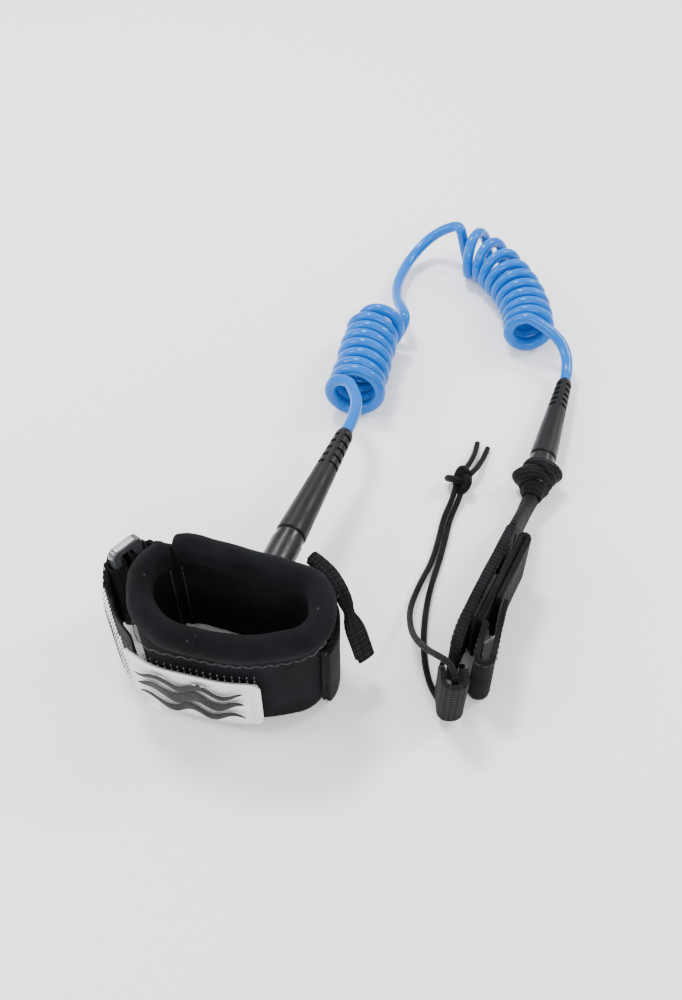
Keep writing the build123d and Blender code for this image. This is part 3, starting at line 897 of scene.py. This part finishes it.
@dataclass
class TieString:
    """Doubled braided string with an overhand knot."""

    diameter: float = 0.0028
    knot_place: tuple[float, float, float] = (0.044, 0.032, 0.0062)
    knot_share: float = 0.56
    over_points: tuple = ((0.0420, 0.029, 0.0052), (0.0395, 0.0215, 0.003), (0.035, 0.012, 0.0016),
                          (0.0318, -0.001, 0.0016), (0.028, -0.014, 0.0016), (0.0215, -0.027, 0.002),
                          (0.0165, -0.040, 0.003), (0.0155, -0.053, 0.009), (0.0165, -0.065, 0.018),
                          (0.020, -0.076, 0.0275), (0.0236, -0.083, 0.0345), (0.028, -0.0875, 0.0365),
                          (0.0306, -0.0905, 0.0315), (0.0308, -0.0912, 0.023), (0.0306, -0.091, 0.013))
    under_points: tuple = ((0.0452, 0.0285, 0.0052), (0.0428, 0.0215, 0.003), (0.0379, 0.0111, 0.0016),
                           (0.0347, -0.0019, 0.0016), (0.031, -0.0149, 0.0016), (0.026, -0.0295, 0.0016),
                           (0.023, -0.044, 0.0016), (0.0215, -0.058, 0.0016), (0.022, -0.071, 0.0016),
                           (0.0242, -0.081, 0.0016), (0.0285, -0.088, 0.0016))
    tail_a_points: tuple = ((0.0455, 0.036, 0.0062), (0.0482, 0.041, 0.0052), (0.0508, 0.0465, 0.0036),
                            (0.0538, 0.054, 0.0018), (0.0555, 0.061, 0.0016))
    tail_b_points: tuple = ((0.0485, 0.0345, 0.0062), (0.0525, 0.0395, 0.0052), (0.055, 0.0445, 0.0036),
                            (0.058, 0.051, 0.0018), (0.0605, 0.0575, 0.0016))

    def _knot(self, finishes: Finishes) -> Piece:
        """Tie two strands together in an overhand knot and pull it tight."""
        centre = placed(*self.knot_place)
        turn = Matrix.Rotation(radians(20), 3, "Z")
        strands = []
        for strand, (spread, rise, phase) in enumerate(((0.00212, 0.0032, 0.0), (0.00160, 0.0026, 0.5))):
            points = []
            count = 24
            for step in range(count):
                t = 2 * pi * step / count + phase
                loop = Vector((sin(t) + 2 * sin(2 * t), cos(t) - 2 * cos(2 * t), 0.0))
                points.append(centre + turn @ (loop * spread + UP * (-sin(3 * t) * rise)) - UP * 0.0004)
            route = Route(f"knot_guide_{strand}", points, cyclic=True)
            strands.append(tube(f"knot_strand_{strand}", route, self.diameter * self.knot_share, closed=True))
            route.discard()
        activate(strands[0])
        strands[1].select_set(True)
        bpy.ops.object.join()
        knot = strands[0]
        knot.name = knot.data.name = "overhand_knot"
        finishes.settle(knot, "braided_string", "braid", "string_knot")
        return knot

    def build(self, finishes: Finishes) -> list[Piece]:
        """Make the knot, the two sides and the two tails."""
        knot = self._knot(finishes)
        made = [knot]
        runs = (("over", self.over_points, "a", self.tail_a_points),
                ("under", self.under_points, "b", self.tail_b_points))
        for name, points, letter, tail_points in runs:
            tail_node = f"string_tail_{letter}"
            tail, tail_route = self._run(tail_node + "_braid", tail_points, tail_node, finishes)
            side, route = self._run(f"string_side_{name}", points, f"string_{name}", finishes)
            tuple(placed(*points[-1]))
            [tuple(spot) for spot in route.points]
            LOG.info("%s %.3f m, tail %.3f m", name, route.length, tail_route.length)
            made += [side, tail]
        return made

    def _run(self, name: str, points: Sequence[tuple], node: str, finishes: Finishes) -> tuple:
        """Make one run of string.

        Args:
            name: name of the piece.
            points: control points on the layout.
            node: CAD node that it stands for.
            finishes: the leash's finishes.

        Returns:
            The run and its route.
        """
        route = Route(name + "_guide", [placed(*point) for point in points], fineness=8)
        piece = tube(name, route, self.diameter / 2)
        finishes.settle(piece, "braided_string", "braid", node)
        route.discard()
        return piece, route


# Cuff.

@dataclass
class Cuff:
    """Padded cuff with its webbing, closing strap, tapes, badge and tabs."""

    pad_line: PlanLine = field(default_factory=lambda: PlanLine(
        [(-0.090, -0.0385), (-0.0213, -0.0615), (-0.0208, -0.0865), (-0.050, -0.093), (-0.095, -0.0815)],
        [0.016, 0.014, 0.014, 0.060, 0.026], True))
    strap_line: PlanLine = field(default_factory=lambda: PlanLine(
        [(-0.1075, -0.034), (-0.0213, -0.0615), (-0.0208, -0.0865), (-0.050, -0.093), (-0.1013, -0.0799)],
        [0.009, 0.014, 0.014, 0.060, 0.034], True))
    height: float = 0.058
    roll_radius: float = 0.0055
    rib_pitch: float = 0.0026
    strap_levels: Pair = (0.0035, 0.0435)
    ribbed_end: float = -27.0
    ring_place: Pair = (-0.102, -0.0415)
    ring_heading: float = 47.0
    bar_offset: float = 0.005625
    badge_angles: Pair = (297.5, 193)
    badge_levels: Pair = (0.004, 0.036)
    badge_face: float = 0.00715

    def build(self, finishes: Finishes) -> None:
        """Build every cuff piece."""
        self._pad(finishes)
        self._backing(finishes)
        self._strap(finishes)
        self._tapes(finishes)
        self._badge(finishes)
        self._tabs(finishes)

    def _span(self, line: PlanLine, start: float, stop: float) -> Pair:
        """Distances along a line, clockwise, from the start angle to the stop angle."""
        first, last = line.facing(start), line.facing(stop)
        return first, last if last > first else last + line.length

    @staticmethod
    def _swell(spot: Vector) -> float:
        """How far the band's outer side swells towards the strap at the left."""
        away = spot - placed(*CUFF_MIDDLE, 0.0)
        angle = degrees(atan2(away.y, away.x)) % 360.0
        return 0.0036 * hump(angle, 203.0, 17.0)

    def _zigzag(self, line: PlanLine, first: float, length: float, pitch: float, outset: float,
                levels: Pair) -> list[Seam]:
        """Seam steps that swing between two levels along a line."""
        count = int(length / pitch)
        ends = []
        for step in range(count + 1):
            spot, _, out = line.at(first + length * step / count)
            swell = self._swell(spot) if line is self.pad_line else 0.0
            ends.append(spot + out * (outset + swell) + UP * levels[step % 2])
        return list(zip(ends, ends[1:]))

    def _pad(self, finishes: Finishes) -> None:
        """Foam band with a rolled top and a butted seam."""
        line, length = self.pad_line, self.pad_line.length
        seam = line.facing(138)
        radius, top = self.roll_radius, self.height - self.roll_radius
        inside, outside, lip, wall = -0.0034, 0.0016, 0.0016, 12
        neck, shoulder = top - 0.0085, top - 0.0052
        section = [(inside, lip + (neck - lip) * step / wall) for step in range(wall)]
        section += [(inside - 0.0016 * ease(step, 0, 5), neck + 0.0062 * step / 5) for step in range(5)]
        for step in range(19):
            angle = radians(202 - 238 * step / 18)
            section.append((radius * cos(angle), top + radius * sin(angle)))
        section += [(outside, shoulder * (1 - step / wall) + lip * step / wall) for step in range(wall + 1)]
        section += [(0.0010, 0.0004), (0.0, 0.0001), (-0.0018, 0.0001), (-0.0029, 0.0005)]
        count = len(section)
        perimeter = 0.125

        def surface(along: float, around: float) -> Vector:
            """Point on the pad's skin."""
            reach = (along % 1.0) * length
            spot, _, out = line.at(reach)
            place = around * count
            index, share = int(place) % count, place - int(place)
            here, after = section[index], section[(index + 1) % count]
            offset = here[0] + (after[0] - here[0]) * share
            level = here[1] + (after[1] - here[1]) * share
            gap = min(abs(reach - seam), length - abs(reach - seam))
            pinch = hump(gap, 0.0, 0.0016)
            crown = ease(level, 0.044, 0.050)
            probe = spot + out * offset * 6 + UP * level
            puff = 0.0006 * ripple(probe, 0.024, 3.0) + 0.0002 * ripple(probe, 0.009, 8.0)
            drawn = offset * (1 - 0.72 * pinch) - 0.0009 * pinch
            sink = 0.0030 * pinch * crown
            crease = 0.0007 * crown * ripple(Vector((reach, 0.0, 0.0)), 0.013, 5.0)
            sign = 1 if offset > 0 else -1
            relief = (sign * puff + sign * crease * 0.5) * ease(level, 0.0, 0.006)
            swell = self._swell(spot) * (1.0 - ease(level, 0.046, 0.050)) if offset > 0.001 else 0.0
            return spot + out * (drawn + swell + relief) + UP * (level - sink + crown * crease * 0.4)

        pad = wrapped("padded_band", 300, 88, surface, length, perimeter)
        weld(pad, 4e-5)
        smooth(pad, 80)
        finishes.settle(pad, "neoprene_jersey", "neoprene", "cuff_pad")
        self._pad_seams(finishes, seam)
        LOG.info("padded band")

    def _pad_seams(self, finishes: Finishes, seam: float) -> None:
        """Zigzag stitching below the roll and a seam down the inside."""
        line = self.pad_line
        seams = self._zigzag(line, 0.0, line.length, 0.0023, 0.00315, (0.0440, 0.0456))
        beside, inset, lowest, pitch, stitch = 0.0032, 0.0037, 0.006, 0.0028, 0.0021
        for step in range(14):
            for side in (-1, 1):
                spot, _, out = line.at(seam + side * beside)
                low = spot - out * inset + UP * (lowest + step * pitch)
                seams.append((low, low + UP * stitch))
        rows = stitches("pad_stitching", seams, 0.00032)
        finishes.settle(rows, "sewing_thread", "neoprene")

    def _layer(self, finishes: Finishes, name: str, line: PlanLine, angles: Pair, outset: float,
               levels: Pair, thickness: float, finish: str, slot: str, nodes: Sequence[str],
               waves: float = 0.0, ribs: float = 0.0) -> Piece:
        """Stand one flat layer round the cuff.

        Args:
            finishes: the leash's finishes.
            name: name of the piece.
            line: plan line that it follows.
            angles: start and stop angles, clockwise.
            outset: middle of the layer outside the line.
            levels: bottom and top.
            thickness: thickness of the layer.
            finish: name of its finish.
            slot: not used.
            nodes: CAD nodes that it stands for.
            waves: how far its long edges wander.
            ribs: depth of upright ribs.

        Returns:
            The layer.
        """
        first, last = self._span(line, *angles)
        length, bottom, top = last - first, *levels

        def surface(along: float, up: float) -> Vector:
            """Point on the middle of the layer."""
            reach = first + along * length
            spot, _, out = line.at(reach)
            rim = waves * ripple(Vector((reach, up, 0.0)), 0.006, 2.0) * abs(2 * up - 1) ** 3
            level = bottom + (top - bottom) * up + rim
            end = min(along, 1 - along) * length
            rounded = 0.0012 * (1 - ease(end, 0.0, 0.003)) * (1 if up > 0.5 else -1) * abs(2 * up - 1) ** 6
            rib = ribs * sin(2 * pi * reach / self.rib_pitch)
            push = 0.00018 * ripple(Vector((reach, level, 1.0)), 0.018, 4.0)
            swell = self._swell(spot) if line is self.pad_line else 0.0
            return spot + out * (outset + rib + push + swell) + UP * (level - rounded)

        step = self.rib_pitch / 6 if ribs else 0.0016
        layer = wrapped(name, int(length / step), 16, surface, length, top - bottom)
        thicken(layer, thickness)
        finishes.settle(layer, finish, slot, *nodes)
        LOG.info(name)
        return layer

    def _backing(self, finishes: Finishes) -> None:
        """Webbing sewn round the pad."""
        self._layer(finishes, "backing_band", self.pad_line, (149, 127), 0.0024, (0.001, 0.046), 0.0012,
                    "fine_webbing", "webbing", ["backing_webbing"], waves=0.0005)

    def _strap(self, finishes: Finishes) -> None:
        """Ribbed elastic closing strap with an eye round the ring's near bar."""
        self._layer(finishes, "ribbed_strap", self.strap_line, (166, self.ribbed_end), 0.0042,
                    self.strap_levels, 0.0012, "ribbed_elastic", "elastic", ["closing_strap"],
                    waves=0.0008, ribs=0.00055)
        self._ring_eye(finishes, "strap_eye", -1)
        self._layer(finishes, "strap_end_patch", self.strap_line, (196, 172), 0.0022, self.strap_levels,
                    0.0010, "fine_webbing", "elastic", ["strap_anchor"])
        first, last = self._span(self.strap_line, 166, self.ribbed_end)
        seams = []
        bottom, top = self.strap_levels
        for level in (top - 0.0014, bottom + 0.0014):
            seams += self._zigzag(self.strap_line, first, last - first, 0.0017, 0.0052,
                                  (level - 0.0009, level + 0.0009))
        bare, end = self._span(self.strap_line, 299, self.ribbed_end)
        crest_face, pitch, stitch = 0.00545, 0.0028, 0.0015
        for rib in range(int((end - bare) / self.rib_pitch)):
            crest = (floor(bare / self.rib_pitch) + 1.25 + rib) * self.rib_pitch
            spot, _, out = self.strap_line.at(crest)
            for step in range(13):
                low = spot + out * crest_face + UP * (bottom + 0.0030 + step * pitch)
                seams.append((low, low + UP * stitch))
        rows = stitches("strap_stitching", seams, 0.00028)
        finishes.settle(rows, "sewing_thread", "elastic")

    def _eye(self, finishes: Finishes, name: str, bar: Vector, radius: float, levels: Pair, thickness: float,
             start: float = 0.0, uneven: float = 0.0) -> None:
        """Fold webbing round an upright bar.

        Args:
            finishes: the leash's finishes.
            name: name of the piece.
            bar: the bar's axis, at the floor.
            radius: middle of the fold from the axis.
            levels: bottom and top.
            thickness: thickness of the webbing.
            start: angle in degrees where the fold starts.
            uneven: how far the fold wanders from a circle.
        """
        low, high = levels
        columns, rows = (36, 16) if uneven else (32, 8)

        def surface(along: float, up: float) -> Vector:
            """Point on the fold."""
            angle = radians(start + 360.0 * along)
            spread = radius + uneven * sin(9 * angle)
            return bar + Vector((cos(angle), sin(angle), 0.0)) * spread + UP * (low + (high - low) * up)

        eye = wrapped(name, columns, rows, surface, 2 * pi * radius, high - low)
        weld(eye)
        thicken(eye, thickness)
        finishes.settle(eye, "fine_webbing", "webbing")

    def _ring_eye(self, finishes: Finishes, name: str, side: int) -> None:
        """Fold webbing round one bar of the slot ring: -1 is the strap's bar and 1 is the tab's."""
        bar = placed(*self.ring_place, 0.0) + heading(self.ring_heading) * (self.bar_offset * side)
        self._eye(finishes, name, bar, 0.0036, self.strap_levels, 0.0011, self.ring_heading + 90.0, 0.00012)

    def _tapes(self, finishes: Finishes) -> None:
        """Hook and loop panels and the closing tape at the right."""
        line, inner = self.pad_line, (0.0055, 0.0415)
        self._layer(finishes, "loop_panel_pile", line, (40, -24), 0.0036, inner, 0.0008,
                    "brushed_tape", "loop_tape", ["loop_panel"])
        self._layer(finishes, "hook_panel_field", line, (34, -20), 0.0046, inner, 0.0008,
                    "hook_tape", "hook_tape", ["hook_panel"])
        self._layer(finishes, "closing_tape", line, (36, -26), 0.0060, self.strap_levels, 0.0016,
                    "brushed_tape", "loop_tape", ["closure_tape"], waves=0.0003)

    def _badge(self, finishes: Finishes) -> None:
        """Soft moulded badge with a raised border, sewn edge and plain wave lines."""
        line = self.strap_line
        first, last = self._span(line, *self.badge_angles)
        length, (bottom, top) = last - first, self.badge_levels
        height, corner, thickness = top - bottom, 0.0045, 0.0014

        def inset(along: float, up: float) -> Pair:
            """Keep a point of the plate within rounded corners."""
            x, y = along * length, up * height
            near_x, near_y = min(x, length - x), min(y, height - y)
            if near_x < corner and near_y < corner:
                dx, dy = corner - near_x, corner - near_y
                far = max(dx, dy)
                scale = far / max(hypot(dx, dy), 1e-9)
                new_x, new_y = corner - dx * scale, corner - dy * scale
                x = new_x if x < length / 2 else length - new_x
                y = new_y if y < height / 2 else height - new_y
            return x, y

        def lift(x: float, y: float) -> float:
            """Raised border and sewing channel."""
            edge = min(x, length - x, y, height - y)
            return 0.00055 * ease(edge, 0.0001, 0.0008) * (1 - ease(edge, 0.0016, 0.0024))

        def surface(along: float, up: float) -> Vector:
            """Point on the badge's face."""
            x, y = inset(along, up)
            spot, _, out = line.at(first + x)
            return spot + out * (self.badge_face - thickness + lift(x, y)) + UP * (bottom + y)

        plate = wrapped("badge_plate", 150, 60, surface, length, height)
        apply_modifier(plate, "SOLIDIFY", thickness=thickness, offset=1.0)
        apply_modifier(plate, "BEVEL", width=0.0003, segments=2, limit_method="ANGLE",
                       angle_limit=radians(60))
        smooth(plate, 40)
        finishes.settle(plate, "badge_rubber", "badge_rubber", "badge")
        seams = []
        margin, pitch, thread = 0.0031, 0.0030, self.badge_face + 0.00013
        for level in (margin, height - margin):
            count = int((length - 2 * margin) / pitch)
            for step in range(count):
                ends = [line.at(first + margin + (length - 2 * margin) * (step + part) / count)
                        for part in (0.12, 0.88)]
                seams.append(tuple(spot + out * thread + UP * (bottom + level) for spot, _, out in ends))
        count = int((height - 2 * margin) / pitch)
        for reach in (margin, length - margin):
            spot, _, out = line.at(first + reach)
            for step in range(count):
                seams.append(tuple(spot + out * thread
                                   + UP * (bottom + margin + (height - 2 * margin) * (step + part) / count)
                                   for part in (0.12, 0.88)))
        rows = stitches("badge_stitching", seams, 0.00026)
        finishes.settle(rows, "badge_thread", "badge_rubber")
        self._waves(finishes, first, length, bottom, height)

    def _waves(self, finishes: Finishes, first: float, length: float, bottom: float, height: float) -> None:
        """Three plain wave bands printed proud of the badge."""
        line = self.strap_line
        margin = 0.0062
        bands = ((0.25, 0.0052, 0.0), (0.52, 0.0072, 0.9), (0.77, 0.0044, 1.8))
        for number, (share, width, phase) in enumerate(bands):

            def surface(along: float, up: float, share: float = share, width: float = width,
                        phase: float = phase) -> Vector:
                """Point on one band."""
                x = margin + (length - 2 * margin) * along
                taper = sin(pi * min(max(along, 0.0), 1.0)) ** 0.6
                middle = height * share + 0.0024 * sin(2 * pi * along * 2.5 + phase)
                y = middle + (up - 0.5) * width * taper
                spot, _, out = line.at(first + x)
                return spot + out * (self.badge_face + 0.00003 + 0.00012 * sin(pi * up)) + UP * (bottom + y)

            band = wrapped(f"wave_band_{number}", 110, 6, surface, length - 2 * margin, width)
            weld(band)
            apply_modifier(band, "SOLIDIFY", thickness=0.00025, offset=1.0)
            smooth(band, 40)
            finishes.settle(band, "badge_ink", "badge_rubber")

    def _tabs(self, finishes: Finishes) -> None:
        """Ring tab, pull tab and the eye that holds the swivel."""
        self._ring_eye(finishes, "ring_tab_eye", 1)
        corners = [(-0.0975, -0.0337), (-0.086, -0.0353), (-0.0700, -0.0408)]
        StandingWebbing("ring_tab_strip", corners, [0.03], 0.0012, *self.strap_levels, "fine_webbing",
                        "webbing", ["ring_tab"]).build(finishes)
        points = [placed(*point) for point in ((-0.027, -0.0445, 0.0475), (-0.0200, -0.0496, 0.0465),
                                               (-0.0148, -0.0575, 0.0448), (-0.0116, -0.0640, 0.0405),
                                               (-0.0098, -0.0668, 0.0345), (-0.0068, -0.0695, 0.0250),
                                               (-0.0038, -0.0715, 0.0125))]
        route = Route("pull_tab_guide", points, fineness=10)
        length = route.length

        def surface(along: float, around: float) -> Vector:
            """Point on the doubled tab."""
            reach = along * length
            spot, side, upper = route.at(reach)
            end = min(reach, length - reach)
            close = closing(end, 0.0016)
            angle = 2 * pi * around
            wide = bulged(cos(angle), 0.55) * 0.0033
            thick = bulged(sin(angle), 0.7) * 0.0019
            groove = 1 - 0.22 * hump(abs(cos(angle)), 1.0, 0.12)
            knobby = 1 + 0.06 * sin(reach / 0.0016 * pi)
            kink = 1 - 0.28 * hump(reach, length * 0.52, 0.0032)
            bulge = (1 + 0.42 * ease(reach, length * 0.5, length * 0.72)) * kink
            return spot + side * wide * close * groove * bulge + upper * thick * close * knobby * kink

        pull = wrapped("pull_tab_fold", 120, 28, surface, length, 0.018)
        weld(pull, 2e-5)
        smooth(pull, 70)
        route.discard()
        finishes.settle(pull, "coarse_webbing", "webbing", "pull_tab")
        self._swivel_tab(finishes)

    def _swivel_tab(self, finishes: Finishes) -> None:
        """Webbing that wraps the cross pin and lies sewn to the back of the cuff."""
        eye = CUFF_SWIVEL.along(-0.021)
        eye.z = 0.0
        low, high = 0.0250, 0.0350
        self._eye(finishes, "swivel_eye", eye, 0.0030, (low, high), 0.0012)
        x, y, _ = eye - LAYOUT_SHIFT
        StandingWebbing("swivel_neck", [(x - 0.0007, y - 0.0027), (x - 0.0023, y - 0.0086)], [], 0.0030,
                        low, high, "fine_webbing", "webbing", ["swivel_tab"]).build(finishes)
        self._layer(finishes, "swivel_patch", self.pad_line, (78, 46), 0.0038, (low, high), 0.0012,
                    "fine_webbing", "webbing", [])


# Rail saver.

@dataclass
class StandingWebbing:
    """Webbing that stands on its long edge along a bent line in plan."""

    name: str
    corners: Sequence[Pair]
    radii: Sequence[float]
    thickness: float
    bottom: float
    top: float
    finish: str
    slot: str
    nodes: Sequence[str] = ()
    waves: float = 0.0003
    selvedge: bool = False
    end_drop: float = 0.0

    def build(self, finishes: Finishes) -> Piece:
        """Make the strip, and its sewn edges where it has them."""
        line = PlanLine(self.corners, self.radii)
        length, bottom, top = line.length, self.bottom, self.top

        def surface(along: float, up: float) -> Vector:
            """Point on the middle of the strip."""
            reach = along * length
            spot, _, out = line.at(reach)
            rim = self.waves * ripple(Vector((reach, up, 3.0)), 0.008, 6.0) * abs(2 * up - 1) ** 2
            lean = 0.0004 * ripple(Vector((reach, up * 0.02, 7.0)), 0.016, 1.0)
            near_end = min(reach, length - reach)
            drop = self.end_drop * (1.0 - ease(near_end, 0.001, 0.013))
            level = max(bottom + (top - drop - bottom) * up + rim, bottom)
            return spot + out * lean + UP * min(level, top + self.waves)

        strip = wrapped(self.name, max(int(length / 0.0012), 6), 20, surface, length, top - bottom)
        thicken(strip, self.thickness, edge=0.3)
        finishes.settle(strip, self.finish, self.slot, *self.nodes)
        if self.selvedge:
            self._edge_threads(line, finishes)
        LOG.info(self.name)
        return strip

    def _edge_threads(self, line: PlanLine, finishes: Finishes) -> None:
        """Sew a row of stitches just inside each long edge."""
        seams = []
        count = int(line.length / 0.0026)
        for level in (self.top - 0.0022, self.bottom + 0.0022):
            for side in (-1, 1):
                for step in range(count):
                    ends = [line.at(line.length * (step + part) / count) for part in (0.15, 0.85)]
                    seams.append(tuple(spot + out * side * (self.thickness / 2 + 0.00008) + UP * level
                                       for spot, _, out in ends))
        rows = stitches(self.name + "_stitching", seams, 0.00024)
        finishes.settle(rows, "sewing_thread", self.slot)


@dataclass
class RailSaver:
    """Webbing rail saver, standing on its edge from the board swivel to the string's loop."""

    height: float = 0.030

    def build(self, finishes: Finishes) -> None:
        """Build the strips, the hitch and the stem."""
        tall = self.height
        web = [(0.0612, -0.0144), (0.0466, -0.0426), (0.0351, -0.0649), (0.0319, -0.075)]
        hooks = [(0.0515, -0.0403), (0.0467, -0.0497), (0.0405, -0.0617)]
        cover = [(0.0422, -0.0634), (0.0509, -0.0465), (0.0649, -0.0191), (0.0680, -0.02065),
                 (0.0516, -0.0532)]
        flap = [(0.0546, -0.0534), (0.0502, -0.0675), (0.0462, -0.0832), (0.0390, -0.0836),
                (0.0409, -0.0762), (0.0454, -0.0636)]
        loop = [(0.0279, -0.0746), (0.026, -0.081), (0.0259, -0.0952), (0.0348, -0.095),
                (0.035, -0.082), (0.0359, -0.0756)]
        sewn = {"waves": 0.0006, "selvedge": True}
        for strip in (
                StandingWebbing("saver_web", web, [0.2, 0.06], 0.0044, 0.0, tall, "coarse_webbing",
                                "webbing", ["saver_strap"], **sewn),
                StandingWebbing("saver_hooks", hooks, [0.3], 0.0014, 0.001, tall - 0.001, "hook_tape",
                                "hook_tape", ["saver_hook_strip"]),
                StandingWebbing("saver_wrap", cover, [0.2, 0.0016, 0.0016], 0.0025, 0.0, tall,
                                "brushed_tape", "loop_tape", ["saver_cover"], **sewn),
                StandingWebbing("saver_fold", flap, [0.06, 0.003, 0.003, 0.012], 0.0022, 0.0, tall,
                                "brushed_tape", "loop_tape", ["saver_flap"], **sewn),
                StandingWebbing("saver_loop", loop, [0.02, 0.0036, 0.0036, 0.02], 0.0022, 0.004, 0.031,
                                "coarse_webbing", "webbing", ["saver_end_loop"], end_drop=0.016)):
            strip.build(finishes)
        self._hitch(finishes)
        self._stem(finishes)

    def _hitch(self, finishes: Finishes) -> None:
        """Webbing folded round the collar and drawn through itself."""
        side = heading(BOARD_SWIVEL.facing - 90)
        profile = [(-0.0062, 0.0075), (-0.009, 0.0086), (-0.013, 0.0089), (-0.017, 0.0083),
                   (-0.021, 0.0072), (-0.027, 0.0045)]

        def radius_at(station: float) -> float:
            """Radius of the lump at a station on the axis."""
            for (x0, r0), (x1, r1) in zip(profile, profile[1:]):
                if station >= x1:
                    return r0 + (r1 - r0) * (station - x0) / (x1 - x0)
            return profile[-1][1]

        def surface(along: float, around: float) -> Vector:
            """Point on the wrapped lump."""
            station = profile[0][0] + (profile[-1][0] - profile[0][0]) * along
            angle = 2 * pi * around
            lap = along - 0.34 - 0.10 * cos(angle + 0.5) - 0.06 * sin(2 * angle)
            second = along - 0.70 + 0.08 * cos(angle - 0.4)
            crease = 0.0016 * hump(lap, 0.0, 0.045) + 0.0014 * hump(second, 0.0, 0.04)
            right_ear = 0.0034 * max(cos(angle), 0.0) ** 3 * hump(along, 0.10, 0.13)
            left_ear = 0.0032 * max(-cos(angle), 0.0) ** 3 * hump(along, 0.42, 0.13)
            lumps = 0.0006 * ripple(Vector((station, cos(angle) * 0.008, sin(angle) * 0.008)), 0.005, 9.0)
            size = radius_at(station) - 0.0006 - crease + right_ear + left_ear + lumps
            out = side * cos(angle) + UP * sin(angle) * 0.96
            spot = BOARD_SWIVEL.along(station) + out * size
            spot.z = max(spot.z, 0.0007)
            return spot

        lump = wrapped("saver_hitch_wrap", 60, 72, surface, 0.0208, 0.054)
        weld(lump)
        thicken(lump, 0.0011)
        finishes.settle(lump, "coarse_webbing", "webbing", "saver_hitch")
        LOG.info("hitch")

    def _stem(self, finishes: Finishes) -> None:
        """Webbing gathered from its full width into the hitch."""
        start = BOARD_SWIVEL.along(-0.0273)
        out_heading = 242.6
        stop = placed(0.0612, -0.0144, self.height / 2) - heading(out_heading) * 0.0003
        length = (stop - start).length
        gathered, full, flat = 0.0040, 0.0142, 0.0026

        def surface(along: float, around: float) -> Vector:
            """Point on the gathered strip."""
            grow = ease(along, 0.0, 1.0)
            spot = start.lerp(stop, along)
            wide = gathered + (full - gathered) * grow
            thick = gathered + (flat - gathered) * grow
            turn = heading(BOARD_SWIVEL.facing - 90).lerp(heading(out_heading + 90), grow).normalized()
            angle = 2 * pi * around
            closed = closing(min(along, 1 - along), 0.02)
            pleat = 1 - 0.22 * (1 - grow) * abs(sin(2 * angle)) - 0.16 * grow * hump(sin(angle), 0.0, 0.2)
            across = bulged(cos(angle), 0.6) * thick * pleat
            tall = bulged(sin(angle), 0.8) * wide
            return spot + turn * across * closed + UP * tall * closed

        stem = wrapped("saver_stem_gather", 60, 48, surface, length, 0.05)
        weld(stem)
        smooth(stem, 60)
        finishes.settle(stem, "coarse_webbing", "webbing", "saver_stem")
        LOG.info("stem")


# Hard pieces.

@dataclass(frozen=True)
class HardPieces:
    """Moulded, turned and metal pieces that keep their modelled shape."""

    ends: tuple[str, str] = ("cuff", "board")

    def dress(self, finishes: Finishes) -> None:
        """Put each finish on its node."""
        nodes = frame["nodes"]
        plan = {"boot": "boot_rubber", "collar": "collar_plastic", "washer": "ring_plastic",
                "bushing": "turned_brass", "ferrule": "turned_brass", "cross_pin": "brushed_steel",
                "swivel_pin": "brushed_steel", "cord_end": "clear_blue_urethane"}
        for end in self.ends:
            for part, finish in plan.items():
                finishes.dress(nodes[f"{end}_{part}"], finish)
        finishes.dress(nodes["slot_ring"], "ring_plastic")
        LOG.info("hard pieces dressed")


def main() -> None:
    """Build the leash and its studio."""
    logging.basicConfig(level=logging.INFO, format="%(name)s: %(message)s")
    Studio().build()
    finishes = Finishes()
    CoiledCord().build(finishes)
    TieString().build(finishes)
    Cuff().build(finishes)
    RailSaver().build(finishes)
    HardPieces().dress(finishes)
    deselect()


if __name__ == "__main__":
    main()
